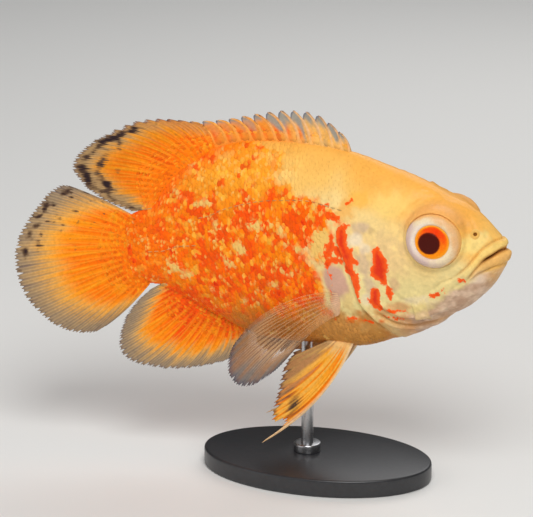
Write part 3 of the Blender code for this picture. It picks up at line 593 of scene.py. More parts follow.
def skin_colour(points):
    """The skin's colour under its marks, with painted shade in its creases, in the slit of the mouth and
    at the belly.
    """
    back, side, up = np.moveaxis(points, -1, 0)
    plane = points[..., [0, 2]]
    flank = flank_share(points)
    wander = noise(points, 11) - 0.5
    mottle = noise(points, 3.2, 3, 3.1) - 0.5
    fine = noise(points, 1.1, 2, 6.2) - 0.5

    breast = ease(up + 12 * mottle, -18, -24) * ease(back, 38, 46) * ease(back, 74, 62)
    below_jaw = ease(-from_line(plane, CHIN_LINE, reach=60)[2] + 4 * mottle, -0.8, 1.6)
    colour = layered(gold_head(points, wander, mottle, fine),
                     (orange_flank(points, wander, mottle, fine), flank), (BREAST, breast * 0.9),
                     (pink_chin(points, mottle, fine), below_jaw * ease(back, 46, 34) * 0.9))
    for sign in (-1, 1):
        from_axis, _, _ = from_eye(points, sign)
        lid = groove(from_axis - 10.0, 1.5) * ease(up - EYE_UP, 1, 7) * (side * sign > 0)
        colour = blend(colour, linear("EDAA68"), lid * 0.6)
    pad = ease(from_pad(points) + 0.5 * mottle, 1.1, 0.75)
    colour = blend(colour, PAD, pad)
    # Brown painted shade lies in the grooves round the lips and in the dark fold low on the head
    for line, width in ((UPPER_GROOVE, 0.3), (LOWER_GROOVE, 0.35), (DARK_FOLD, 0.8)):
        away, share, _ = from_line(plane, line)
        colour = blend(colour, CREASE_SHADE, groove(away, width) * 0.55 * ease(share, 1.05, 0.8))
    # Painted shade also darkens the mouth line and the slit between the lips
    away, share, _ = from_line(plane, MOUTH_LINE)
    colour = layered(colour, (LIP, lip_share(plane, MOUTH_LINE, UPPER_GROOVE) * 0.8),
                     (LOWER_LIP, lip_share(plane, LOWER_GROOVE, MOUTH_LINE) * 0.85),
                     (CREASE_SHADE, groove(away, 0.3) * ease(share, 1.05, 0.85) * 0.6),
                     (MOUTH_SHADE, groove(away, 0.6) * ease(share, 0.68, 0.5)))
    face = (1 - flank) * ease(up, 15, 8) * (1 - pad)
    shade = 1 - 0.04 * face + (0.12 + 0.1 * face) * mottle + (0.05 + 0.15 * face) * fine
    return colour * shade[..., None]


print("cheek", skin_colour(np.array([36.0, 10.0, 0.0])).round(3))

# %% [markdown]
# ## The skin
#
# A fish's skin is one sheet over jaw, cheek, gill cover and flank. A UV sphere has the right
# make-up for it: one pole becomes the gap between the lips, the other the end of the tail stalk,
# and its own unwrap becomes the skin's. Rings are set close together on the head, where the
# lips, nostrils and eyelid folds are, and wider on the flank, which scales cover.

# %% A sphere drawn out into the body
AROUND, RINGS = 240, 280
SNOUT_TIP, CAP_DEPTH, TAIL_CAP = 0.3, 0.65, 1.4
# How far behind the snout the rings lie, as (share of the rings, millimetres)
RING_PLACES = ((0, SNOUT_TIP - CAP_DEPTH), (0.035, SNOUT_TIP), (0.61, 58), (1, BODY_END + TAIL_CAP))
COAT_DEPTH = 0.22  # the scaled skin lies this far inside the body's outline
FINE_STEPS = 721  # steps round a cross-section while its outline is measured
FLANK_RING = 100  # a ring on the flank, where it is plain which way outwards is


def sections(backs, count):
    """The cross-section at each distance behind the snout, as points evenly spaced round it,
    from the back down the left side and up the right."""
    turn = np.linspace(0, 2 * np.pi, FINE_STEPS)
    lean, lift = np.sin(turn), np.cos(turn)
    rings = []
    for back in backs:
        at = np.clip(back, SNOUT_TIP, BODY_END)
        middle = widest(at)
        high = lift > 0
        height = np.where(high, top(at) - middle, middle - bottom(at))
        power = 2 / np.where(high, top_fullness(at), bottom_fullness(at))
        side = half_width(at) * np.sign(lean) * np.abs(lean) ** power
        up = middle + height * np.sign(lift) * np.abs(lift) ** power
        far = np.concatenate([[0], np.cumsum(np.hypot(np.diff(side), np.diff(up)))])
        even = np.linspace(0, far[-1], count, endpoint=False)
        squeeze = 1.0
        if back < SNOUT_TIP:
            squeeze = math.sqrt(max(1 - (SNOUT_TIP - back) / CAP_DEPTH, 0))
        if back > BODY_END:
            squeeze = math.sqrt(max(1 - ((back - BODY_END) / TAIL_CAP) ** 2, 0))
        centre = -0.6 if back < 20 else 1.0
        rings.append(np.stack([np.full(count, back), np.interp(even, far, side) * squeeze,
                               centre + (np.interp(even, far, up) - centre) * squeeze], -1))
    return np.array(rings)


def outward(grid):
    """Unit normals of a grid of rings."""
    along = np.gradient(grid, axis=0)
    across = np.roll(grid, -1, 1) - np.roll(grid, 1, 1)
    normal = np.cross(along, across)
    length = np.linalg.norm(normal, axis=-1, keepdims=True)
    normal = normal / np.maximum(length, 1e-9)
    normal[0], normal[-1] = (-1, 0, 0), (1, 0, 0)
    return normal


ring_share = np.arange(RINGS + 1) / RINGS
ring_back = np.interp(ring_share, *np.array(RING_PLACES).T)
body = sections(ring_back, AROUND)
FLIP = -1 if (outward(body)[FLANK_RING, :, 1] * body[FLANK_RING, :, 1]).sum() < 0 else 1
normals = outward(body) * FLIP
print("skin rings", body.shape, "ring spacing on the head, mm:", round(ring_back[60] - ring_back[59], 2))

# %% [markdown]
# ## The head
#
# The head has the most to read: a long upper lip that slides over the cheek, a lower lip with a
# fold below it, nostrils like tiny chimneys, an orbit that swells round the eye, the flap of
# the gill cover and the pleats of skin under it. Each is a rise or a groove measured from a line
# on the side of the head, which keeps both sides alike and every fold in its place.

# %% Shapes on the head
NOSTRIL, NOSTRIL_DEPTH, PORE_DEPTH, PORE_WIDTH = (8.9, 5.8), 0.9, 0.3, 0.38
PORES = ((17.5, 13.8), (21.8, 16.2), (29, 13.5), (33.5, 8.6), (12.5, 9.2), (14.5, 3.6), (6.0, 4.9),
         (36.5, 3.5), (41, 7.4), (43.2, 8.8), (40.2, 9.6))
ORBIT_RADIUS, ORBIT_DEPTH, ORBIT_SIDE = 10.5, 5.3, 7.9
EYE_OPENING, EYE_FLOOR = (8.55, 8.95), 0.2  # the skin drops to its floor between these two radii
# Folds of the lid as (distance from the eye's axis, height, width)
LID_FOLDS = ((9.4, 0.30, 0.5), (10.6, -0.15, 0.55), (11.9, 0.10, 0.5), (12.9, -0.08, 0.5))
MOUTH_DEPTH, FLAP_HEIGHT, FLAP_LENGTH, PAD_HEIGHT = 1.7, 0.85, 5.0, 0.45
# Creases as (line, depth, width, and the shares along the line where it is gone and whole)
CREASES = ((MOUTH_LINE, 0.4, 0.3, 1.05, 0.8), (UPPER_GROOVE, 0.7, 0.26, 1.12, 0.8),
           (LOWER_GROOVE, 0.28, 0.5, 1.0, 0.7), (CHEEK_CREASE, 0.4, 0.45, 1.0, 0.3),
           (CHEEK_CREASE_LOW, 0.28, 0.55, 1.0, 0.3))
# Folds as (line, height and width on it, height, distance and width beside it, and the shares
# along the line where it has come up and where it begins to fade)
FOLDS = ((LIGHT_FOLD, 0.55, 0.8, -0.5, 1.5, 0.6, 0.12, 0.75),
         (DARK_FOLD, -0.9, 0.45, 0.4, 1.2, 0.9, 0.12, 0.7),
         (PREOPERCLE, -0.18, 0.7, 0.16, -1.0, 1.2, 0.2, 0.8))


def smooth_larger(a, b, soft):
    """The larger of two heights, with the edge between them rounded off."""
    share = np.clip(0.5 + 0.5 * (a - b) / soft, 0, 1)
    return b + (a - b) * share + soft * share * (1 - share)


def orbit_shape(body):
    """Swells the skin round both eyes, and sinks it under the eyeballs."""
    for sign in (-1, 1):
        radius, height, axis = from_eye(body, sign)
        here = (body[..., 1] * sign > 2) & (radius < 16)
        dome = 1 - (radius / ORBIT_RADIUS) ** 2
        swell = ORBIT_SIDE - EYE_SIDE + ORBIT_DEPTH * np.sign(dome) * np.sqrt(np.abs(dome))
        new = smooth_larger(height, np.maximum(swell, -6), 0.9)
        brow = ease((body[..., 2] - EYE_UP) / np.maximum(radius, 1), 0.1, 0.9)
        for fold, high, wide in LID_FOLDS:
            new = new + high * groove(radius - fold, wide)
        new = new + brow * (1.1 * groove(radius - 9.6, 1.5) - 0.5 * groove(radius - 12.2, 0.8))
        floor = EYE_FLOOR + (new - EYE_FLOOR) * ease(radius, *EYE_OPENING)
        new = np.where(radius < EYE_OPENING[1], np.minimum(new, floor), new)
        body = body + np.where(here, new - height, 0)[..., None] * axis
    return body


def lips(plane):
    """Both lips as rounded bands on either side of the mouth, low at the snout's very tip."""
    forward = 0.2 + 0.8 * ease(plane[..., 0], 0.8, 5.5)
    upper = 1.15 * lip_share(plane, MOUTH_LINE, UPPER_GROOVE) ** 0.55
    lower = 0.75 * lip_share(plane, LOWER_GROOVE, MOUTH_LINE) ** 0.6
    return (upper + lower) * forward


def nearest_skin(back, up, sign):
    """The skin's place and outward direction at a spot on one side of the head."""
    gap = np.hypot(body[..., 0] - back, body[..., 2] - up) + 50 * (body[..., 1] * sign < 0)
    spot = np.unravel_index(gap.argmin(), gap.shape)
    return body[spot], normals[spot]


def soft_flesh(points):
    """How uneven soft skin is: dimpled all over, drawn out along the cheek and knobbly on the nape."""
    back, side, up = np.moveaxis(points, -1, 0)
    dimples = (noise(points, 5.5, 2) - 0.5) * 0.35 + (noise(points, 1.6, 2, 9.0) - 0.5) * 0.14
    drawn = np.stack([0.3 * back + 0.1 * up, side * 0.3, up - 0.3 * back], -1)
    cheek = ease(back, 13, 19) * ease(back, 47, 38) * ease(up, 1, -4)
    nape = ease(up, 8, 16) * ease(back, 16, 26)
    uneven = dimples + (noise(drawn, 1.3, 2, 61.0) - 0.5) * 0.34 * cheek
    return (uneven + (noise(points, 2.6, 1, 14.0) - 0.5) * 0.22 * nape) * ease(back, 2, 10)


def head_relief(points):
    """How far each point of the skin stands out (+) or in (-), in millimetres."""
    plane = points[..., [0, 2]]
    back, up = plane[..., 0], plane[..., 1]
    away, share, _ = from_line(plane, MOUTH_LINE)
    opening = 0.36 + 0.5 * ease(back, 5, 0)
    relief = lips(plane) - MOUTH_DEPTH * groove(away, opening) * ease(share, 0.66, 0.42)
    for line, depth, width, gone, whole in CREASES:
        away, share, _ = from_line(plane, line)
        relief = relief - depth * groove(away, width) * ease(share, gone, whole)
    for line, high, width, beside, off, beside_width, start, end in FOLDS:
        away, share, side = from_line(plane, line)
        fold = high * groove(away, width) + beside * groove(side - off, beside_width)
        relief = relief + fold * ease(share, 0, start) * ease(share, 1, end)
    # The gill cover is a flap: it rises towards its free edge and drops behind it
    _, share, side = from_line(plane, GILL_EDGE)
    flap = np.where(side < 0, np.exp(side / FLAP_LENGTH), 0) * FLAP_HEIGHT * ease(share, 0, 0.12)
    relief = relief + flap - 0.45 * groove(side - 0.5, 0.5) * ease(share, 0, 0.1)
    for pore_back, pore_up in PORES:
        relief = relief - PORE_DEPTH * groove(np.hypot(back - pore_back, up - pore_up), PORE_WIDTH)
    return relief + PAD_HEIGHT * ease(from_pad(points), 1.1, 0.5) + soft_flesh(points)


# The skin sinks under the scales, swells round the eyes and then takes on the head's relief, which
# fades out on the flank and at the eyeballs
behind_front = from_line(body[..., [0, 2]], COAT_FRONT, reach=90)[2]
body = body - normals * (COAT_DEPTH * ease(behind_front, -1.0, 1.0))[..., None]
body = orbit_shape(body)
normals = outward(body) * FLIP
relief = head_relief(body) * ease(ring_back, 64, 58)[:, None]
eye_gap = np.minimum(*[from_eye(body, sign)[0] + 30 * (body[..., 1] * sign < 0) for sign in (-1, 1)])
relief = relief * ease(eye_gap, 8.6, 10.2)
body = body + normals * relief[..., None]
normals = outward(body) * FLIP
nostril_seats = [nearest_skin(*NOSTRIL, sign) for sign in (-1, 1)]
pit = groove(np.hypot(body[..., 0] - NOSTRIL[0], body[..., 2] - NOSTRIL[1]), 0.6)
body = body - normals * NOSTRIL_DEPTH * pit[..., None]
print("relief on the head from", round(relief.min(), 2), "to", round(relief.max(), 2), "mm")

# %% The skin object
skin = added(bpy.ops.mesh.primitive_uv_sphere_add, segments=AROUND, ring_count=RINGS, radius=1)
ball = places_of(skin)
ring = np.rint(np.arccos(np.clip(ball[:, 2], -1, 1)) * RINGS / np.pi).astype(int)
spoke = np.rint(np.arctan2(ball[:, 1], ball[:, 0]) * AROUND / (2 * np.pi)).astype(int) % AROUND
ends = (ring == 0) | (ring == RINGS)
straight_skin = body[ring, spoke]
straight_skin[ends] = body[ring[ends]].mean(1)
move_vertices(skin, posed(straight_skin))
face_outwards(skin)
store_look(skin, skin_colour(straight_skin), red_field(straight_skin), pale_field(straight_skin))

# %% [markdown]
# ### Skin finish
#
# Fish skin is pigment cells under a clear wet mucus: soft colour that changes over a millimetre,
# with a sharp wet shine on top. The base colour comes from the markings, the red marks get their
# ragged edges from fine noise, and a thin clear coat gives the shine.

# %% Living tissue
WATER_IOR, TISSUE_IOR = 1.33, 1.34
SOFT_SPECULAR = 0.22  # mucus scatters, so it mirrors less than clear water does


def tissue(name, roughness, edge_tone, core_tone, pale_tone, ragged_mm, coat=0.0, bump_mm=0.0,
           clear=False, soft_mm=0.2, grain_share=0.1, depth=1.0):
    """Pigment under a film of water. Each mesh brings its paint, and two fields in millimetres that
    say how deep a place lies in dark or red marks and in pale patches. Fine noise frays their edges
    by ragged_mm, a mark fades in over soft_mm up to depth, and grain_share lightens and darkens."""
    look, tree, shader = new_material(
        name, Roughness=roughness, IOR=TISSUE_IOR, Specular_IOR_Level=SOFT_SPECULAR,
        Coat_Weight=coat, Coat_Roughness=0.12, Coat_IOR=WATER_IOR)
    place = node(tree, "TexCoord").outputs["Object"]
    paint = node(tree, "Attribute", {"attribute_name": "paint"}).outputs["Color"]
    mark = node(tree, "Attribute", {"attribute_name": "mark"}).outputs["Fac"]
    pale = node(tree, "Attribute", {"attribute_name": "pale"}).outputs["Fac"]
    # Pigment cells gather in specks of about a millimetre
    grain = node(tree, "TexNoise", Vector=place, Scale=1 / (0.95 * MM), Detail=4.0).outputs["Fac"]
    fray = node(tree, "Math", {"operation": "MULTIPLY_ADD"}, _0=grain,
                _1=2 * ragged_mm, _2=-ragged_mm).outputs[0]
    deep = node(tree, "Math", {"operation": "ADD"}, _0=mark, _1=fray).outputs[0]
    light = node(tree, "Math", {"operation": "SUBTRACT"}, _0=pale, _1=fray).outputs[0]
    in_mark = node(tree, "MapRange", Value=deep, From_Min=-soft_mm, From_Max=soft_mm,
                   To_Max=depth).outputs[0]
    in_core = node(tree, "MapRange", Value=deep, From_Min=0.6, From_Max=2.0).outputs[0]
    in_pale = node(tree, "MapRange", Value=light, From_Min=-0.5, From_Max=0.9).outputs[0]
    tone = node(tree, "MixRGB", Fac=in_core, Color1=opaque(edge_tone), Color2=opaque(core_tone)).outputs[0]
    under = node(tree, "MixRGB", Fac=in_pale, Color1=paint, Color2=opaque(pale_tone)).outputs[0]
    marked_paint = node(tree, "MixRGB", Fac=in_mark, Color1=under, Color2=tone).outputs[0]
    shade = node(tree, "MapRange", Value=grain, From_Min=0.3, From_Max=0.7,
                 To_Min=1 - grain_share, To_Max=1 + grain_share).outputs[0]
    graded = node(tree, "VectorMath", {"operation": "SCALE"}, _0=marked_paint, Scale=shade)
    tree.links.new(graded.outputs[0], shader.inputs["Base Color"])
    if bump_mm:
        skin_grain = node(tree, "TexNoise", Vector=place, Scale=1 / (0.5 * MM), Detail=2.0)
        relief = node(tree, "Bump", Height=skin_grain.outputs["Fac"], Strength=1.0,
                      Distance=bump_mm * MM)
        tree.links.new(relief.outputs[0], shader.inputs["Normal"])
    if clear:
        cover = node(tree, "Attribute", {"attribute_name": "cover"}).outputs["Fac"]
        tree.links.new(cover, shader.inputs["Alpha"])
    return look


# Scaled and bare skin: orange cells under clear mucus, so its colour is deep and its shine is thin
living_skin = tissue("wet_fish_skin", 0.4, "FA5604", "DE2200", "F0C068", 1.2, coat=0.08, bump_mm=0.04,
                     grain_share=0.05, depth=0.97)
finish_piece(skin, "skin", living_skin, "pale_skin", "head", "lower_jaw", "gill_cover_right",
             "gill_cover_left", "torso", "tail_stalk")

# %% [markdown]
# ## The eyes
#
# An oscar's eye is a pale fleshy ring round a red-orange iris, with a dark pupil that is set a
# little back of the middle. It is a turned shape, so its profile is drawn once and spun round the
# eye's axis.

# %% Turned eyes
RING_PROFILE = ((9.1, -0.4), (9.1, 0.9), (8.95, 1.9), (8.6, 2.75), (8.0, 3.5), (7.3, 3.98), (6.7, 4.16),
                (6.1, 4.12), (5.75, 3.98), (5.55, 3.8), (5.5, 3.5), (5.45, 3.0))
IRIS_PROFILE = ((5.75, 2.9), (5.7, 3.55), (5.4, 3.78), (4.8, 3.9), (4.0, 3.98), (3.2, 4.03), (2.2, 4.06),
                (1.0, 4.08), (0.25, 4.08))
PUPIL_PROFILE = ((3.45, 3.6), (3.45, 4.0), (3.3, 4.14), (2.9, 4.24), (2.2, 4.32), (1.2, 4.37),
                 (0.2, 4.38))
PUPIL_BACK, PUPIL_DOWN = 0.95, 0.35


def turned(profile, steps, sides=96):
    """Raises a disc into a closed turned solid, one edit-mode extrusion at each step of the profile."""
    curve = path_through(profile)(np.linspace(0, 1, steps))
    obj = added(bpy.ops.mesh.primitive_circle_add, vertices=sides, radius=curve[0][0],
                fill_type="TRIFAN", location=(0, 0, curve[0][1]))
    bpy.ops.object.transform_apply(location=True)
    bpy.ops.object.mode_set(mode="EDIT")
    bpy.ops.mesh.select_all(action="SELECT")
    for (radius, height), (next_radius, next_height) in zip(curve, curve[1:]):
        bpy.ops.mesh.extrude_region_move(
            TRANSFORM_OT_translate={"value": (0, 0, next_height - height)})
        size = next_radius / radius
        bpy.ops.transform.resize(value=(size, size, 1), center_override=(0, 0, 0))
    bpy.ops.object.mode_set(mode="OBJECT")
    return obj


def onto_eye(points, sign):
    """Places (towards the tail, up, out) points of a turned piece in the straight fish."""
    centre, axis = eye_frame(sign)
    along = np.array([math.cos(EYE_FORWARD_TURN), sign * math.sin(EYE_FORWARD_TURN), 0])
    return centre + points[:, :1] * along + points[:, 1:2] * (0, 0, 1) + points[:, 2:] * axis


RING_LILAC, RING_WHITE, RING_CREAM, RING_PEACH = map(linear, ("D6BAB0", "F2E4DA", "EDD6AE", "E6AC70"))
IRIS_RED, IRIS_ORANGE, IRIS_RIM, PUPIL = map(linear, ("F43A00", "FC8E00", "F8A62C", "4A0A00"))


def ring_colour(points):
    """Lilac and white behind, cream below and peach above and ahead, each melting into the next."""
    turn = np.arctan2(points[:, 1], -points[:, 0])
    radius = np.hypot(points[:, 0], points[:, 1])
    uneven = noise(points, 2.6, 3, 8.0) - 0.5
    ahead = np.cos(turn - 0.35) + 1.6 * uneven
    white = ease(radius + 1.5 * uneven, 7.7, 6.1) * ease(np.cos(turn - 2.7), 0.1, 0.9)
    rim = ease(radius + uneven, 8.0, 8.9) * ease(ahead, -0.5, 0.5)
    colour = layered(RING_LILAC, (RING_CREAM, ease(ahead, -0.65, 0.15)),
                     (RING_PEACH, ease(ahead + 0.25 * (radius - 7.4), 0.2, 1.1) * 0.85),
                     (RING_WHITE, white * 0.9), (RING_CREAM, groove(radius - 6.1, 0.5) * 0.35),
                     (linear("EBB062"), rim * 0.85))
    # The ring is painted darker where it drops to the iris, as painted shade in that crease
    return colour * (1 - 0.12 * ease(radius, 5.9, 5.5))[..., None]


def iris_colour(points):
    """Red below and behind, orange ahead, with a yellow rim and a dark edge round the pupil."""
    radius = np.hypot(points[:, 0], points[:, 1])
    turn = np.arctan2(points[:, 1], -points[:, 0])
    ragged = noise(np.stack([np.cos(turn) * 3, np.sin(turn) * 3, radius], -1), 1.0) - 0.5
    warm = 0.5 + 0.5 * np.sin(turn + 0.35)
    inner = ease(radius, 5.2, 4.2)
    pupil = np.hypot(points[:, 0] - PUPIL_BACK, points[:, 1] + PUPIL_DOWN)
    return layered(IRIS_ORANGE, (IRIS_RED, ease(warm + 0.5 * ragged + 0.2 * inner, 0.25, 1.25)),
                   (IRIS_RIM, ease(radius + 0.5 * ragged, 4.8, 5.4)),
                   (linear("8A2400"), ease(pupil + 0.2 * ragged, 3.75, 3.45)))


def pupil_colour(points):
    """Nearly black, and a little browner at its edge."""
    radius = np.hypot(points[:, 0], points[:, 1])
    return blend(PUPIL, linear("641200"), ease(radius, 2.9, 3.5))


def moist(name, roughness, coat):
    """Moist eye tissue: soft colour under a film of water."""
    look, tree, shader = new_material(
        name, Roughness=roughness, IOR=TISSUE_IOR, Specular_IOR_Level=0.25,
        Coat_Weight=coat, Coat_Roughness=0.03, Coat_IOR=WATER_IOR)
    place = node(tree, "TexCoord").outputs["Object"]
    paint = node(tree, "Attribute", {"attribute_name": "paint"}).outputs["Color"]
    fine = node(tree, "TexNoise", Vector=place, Scale=1 / (0.5 * MM), Detail=3.0)
    shade = node(tree, "MapRange", Value=fine.outputs["Fac"], From_Min=0.3, From_Max=0.7,
                 To_Min=0.94, To_Max=1.06)
    graded = node(tree, "VectorMath", {"operation": "SCALE"}, _0=paint,
                  Scale=shade.outputs[0])
    tree.links.new(graded.outputs[0], shader.inputs["Base Color"])
    return look


# The ring is bare flesh, soft and faintly wet. The iris and the pupil lie under the clear cornea,
# whose tight film of water gives the eye its small sharp glint.
eye_flesh = moist("moist_eye_ring", 0.38, 0.15)
eye_glass = moist("wet_iris", 0.4, 0.1)
pupil_glass = moist("wet_pupil", 0.5, 0.06)
for side_name, sign in (("right", -1), ("left", 1)):
    for part, profile, steps, shift, colours, look in (
            ("ring", RING_PROFILE, 36, (0, 0, 0), ring_colour, eye_flesh),
            ("iris", IRIS_PROFILE, 24, (0, 0, 0), iris_colour, eye_glass),
            ("pupil", PUPIL_PROFILE, 16, (PUPIL_BACK, -PUPIL_DOWN, 0), pupil_colour, pupil_glass)):
        piece = turned(profile, steps)
        own = places_of(piece)
        store(piece, "paint", colours(own))
        move_vertices(piece, posed(onto_eye(own + shift, sign)))
        face_outwards(piece)
        finish_piece(piece, f"eye_{side_name}_{part}", look, "eye", "eye_" + side_name)

# %% [markdown]
# ### The nostrils
#
# An oscar has a single nostril on each side, a low fleshy chimney with a dark pit. It is turned
# like the eyes, and its foot is sunk in the skin.

# %% Turned nostrils
NOSTRIL_PROFILE = ((2.0, -0.45), (1.75, -0.1), (1.35, 0.24), (0.98, 0.4), (0.7, 0.34), (0.52, 0.14),
                   (0.4, -0.12), (0.1, -0.2))

for side_name, (spot, outwards) in zip(("right", "left"), nostril_seats):
    piece = turned(NOSTRIL_PROFILE, 18, sides=40)
    own = places_of(piece)
    radius = np.hypot(own[:, 0], own[:, 1])
    # Dark brown in the pit is painted shade inside it; the chimney is gold and melts into the skin at its
    # foot
    rim = layered(linear("8A5414"), (linear("E8B45C"), ease(radius, 0.45, 0.75)),
                  (skin_colour(np.array([spot])), ease(radius, 1.1, 1.8)))
    turn = np.array(Vector(outwards).to_track_quat("Z", "Y").to_matrix())
    store_look(piece, rim)
    move_vertices(piece, posed(spot + own @ turn.T))
    face_outwards(piece)
    finish_piece(piece, "nostril_" + side_name, living_skin, "pale_skin")

# %% [markdown]
# ## The fins
#
# A fin is a thin web stretched over rays. Each soft ray is one rod at its root and splits in two
# and then in four on its way out, and the web frays a little between the tips. The grid that
# becomes a fin has enough columns for every branch, and the Solidify modifier gives it its
# changing thickness, with the rays as ridges on both faces. The soft dorsal and anal fins also
# widen at their roots to the body's own width, because flesh runs up into them without a step.

# %% Fin outlines in (back, side, up), the same measures that the solids use
SINK, ROOT_LENGTH = 2.2, 0.385
SPINES_ROOT, DORSAL_ROOT, ANAL_ROOT = (51.9, 97.9), (97.6, 121.5), (94.5, 119.5)
SPINES_TIPS = ((54.9, 0, 37.6), (60.6, 0.1, 42.6), (65.5, 0.3, 44.6), (73.6, 0.4, 45.3),
               (83.5, 0.4, 44.5), (95, 0.2, 43.0), (105.6, 0, 42.8))
DORSAL_TIPS = ((105.4, 0, 42.9), (113.7, 0, 44.5), (123.5, 0.5, 44.6), (132.2, 1.2, 41.7),
               (140.7, 1.8, 37.9), (146.3, 2.2, 33.4), (147.7, 2.2, 29.8), (146.3, 2, 26.2),
               (143, 1.6, 21.7), (137, 1, 17.3), (129.5, 0.4, 13.8))
ANAL_TIPS = ((97.4, 0, -34.8), (102, 0, -38.3), (109.3, -0.2, -40.2), (118, -0.6, -40.9),
             (126, -0.9, -40.1), (134, -1.2, -37.8), (138, -1.4, -33.9), (138.3, -1.4, -29),
             (135.5, -1.2, -22.1), (131.4, -0.9, -17), (126, -0.4, -12.9))
TAIL_TIPS = ((146.8, 0.8, 22.8), (151.8, 1.2, 24.6), (156.4, 1.2, 22.4), (161.8, 1.1, 17.0),
             (166.8, 0.8, 10.9), (170, 0.2, 3.5), (170.3, -0.4, -4.2), (168, -0.6, -12.6),
             (162.6, -0.4, -20.4), (155, 0.2, -25.7), (147, 0.8, -27), (141.6, 1.2, -24.2))
CHEST_ROOT, CHEST_SINK = ((54.8, -12.6), (57.2, -19.4)), 1.2
CHEST_TIPS = ((90.5, 13.4, -24.5), (95.6, 15.2, -30.5), (97.4, 16.6, -36.1), (95.6, 18, -40.4),
              (91.6, 19, -42.4), (87, 19, -41.4), (82.6, 18.4, -39), (77.8, 17.2, -35.4),
              (71.5, 15, -29.6))
HIP_ROOT = ((55.6, 3.4, -31.0), (64, 5.2, -30.4))
HIP_TIPS = ((90.1, 9.4, -64.3), (86.6, 9.2, -57.4), (85.4, 9, -52.2), (83.4, 8.8, -47),
            (81.9, 8.2, -41.8), (78.8, 7.2, -36))
HIP_TURN, HIP_SWEEP = (58, -32), math.radians(7)


def changing(first, last, sign=1):
    """A vector that changes evenly from the first ray to the last."""
    a, b = np.array(first, float) * (1, sign, 1), np.array(last, float) * (1, sign, 1)
    return lambda share: a + (b - a) * share[..., None]


def along_edge(span, edge, sink, crowding=1.0):
    """Roots on the line of the back or of the belly, a little inside it."""
    def root(share):
        back = span[0] + (span[1] - span[0]) * np.maximum(share, 0) ** crowding
        return np.stack([back, 0 * back, edge(back) + sink], -1)
    return root


TAIL_BACK, TAIL_BOW, TAIL_SLANT, TAIL_LEVEL, TAIL_HALF = 128.6, 2.2, 1.2, 0.5, 11.0


def tail_root(share):
    """The bowed line on which the tail fin's rays start, from the highest to the lowest."""
    drop = 2 * share - 1
    back = TAIL_BACK - TAIL_BOW * drop ** 2 - TAIL_SLANT * drop
    return np.stack([back, 0 * back, TAIL_LEVEL - TAIL_HALF * drop], -1)


def chest_root(sign):
    """The short slanting line on the side that the pectoral fin grows from."""
    def root(share):
        back, up = (CHEST_ROOT[0][k] + (CHEST_ROOT[1][k] - CHEST_ROOT[0][k]) * share for k in (0, 1))
        return np.stack([back, sign * (side_at(back, up) - CHEST_SINK), up], -1)
    return root


def hip_tips(sign):
    """The pelvic fin's tips. The left fin is swept back a little more."""
    sweep = HIP_SWEEP if sign > 0 else 0
    swept = []
    for back, side, up in HIP_TIPS:
        b, u = back - HIP_TURN[0], up - HIP_TURN[1]
        swept.append((HIP_TURN[0] + b * math.cos(sweep) - u * math.sin(sweep), sign * side,
                      HIP_TURN[1] + b * math.sin(sweep) + u * math.cos(sweep)))
    return path_through(swept)


def surface_of(root, tip, bow):
    """The fin's middle surface: a function of a share across the rays and a share along them."""
    def at(share, t):
        share, t = np.broadcast_arrays(share, t)
        t = t[..., None]
        return root(share) * (1 - t) + tip(share) * t + bow(share) * (4 * t * (1 - t))
    return at


def mirrored(points, sign):
    """The line through a fin's tips, for the right side (-1) or the left and the middle (1)."""
    return path_through([(b, sign * s, u) for b, s, u in points])


print("the tail fin's middle ray starts at", tail_root(np.array(0.5)).round(1))

# %% Rays, webs and frayed margins
EVEN_STEPS = np.arange(16) / 16
SPINE_STEPS = np.array([0, 0.03, 0.06, 0.1, 0.18, 0.3, 0.45, 0.6, 0.74, 0.85, 0.92, 0.96])


def ray_distance(inside, t, gap):
    """The distance in millimetres to the nearest branch of a ray that splits in two, then in four."""
    x = np.minimum(inside, 1 - inside)
    first = 0.25 * np.clip((t - 0.1) / 0.45, 0, 1)
    second = 0.125 * np.clip((t - 0.4) / 0.4, 0, 1)
    return np.abs(np.abs(x - first) - second) * gap


# Half thicknesses in millimetres at the root of the free fin, and how much thinner it gets outwards
WEB, WEB_THINNING, RAY_RIDGE, RAY_TIP = 0.2, 0.08, 0.24, 0.07
SPINE_WEB, SPINE_RIDGE, SPINE_TIP = 0.14, 0.42, 0.14


def fleshy(t):
    """1 at a fin's root and 0 past its fleshy part."""
    return np.clip(1 - t / ROOT_LENGTH, 0, 1) ** 1.5


def soft_half(inside, t, gap, root_half):
    """Half the thickness of a soft-rayed fin."""
    away = ray_distance(inside, t, gap)
    ridge = (RAY_RIDGE * (1 - t) + RAY_TIP * t) * groove(away, 0.55 - 0.3 * t)
    body = WEB - WEB_THINNING * t + ridge
    return body + (root_half - body) * (fleshy(t) * ease(t, -0.02, 0.06))


def filleted(half, points):
    """Widens a fin's root to the body's own width just inside its edge, so flesh flows into fin."""
    back, up = points[..., 0], points[..., 2]
    inside = np.minimum(top(back) - up, up - bottom(back))
    soft = 0.02 + 1.2 * ease(inside, -1.6, -0.2)
    swollen = smooth_larger(half, side_at(back, up), soft) - 0.35 * ease(inside, 1.0, 1.9)
    start = back.min() + 1
    return np.where(inside > -1.6, half + (swollen - half) * ease(back, start, start + 6), half)


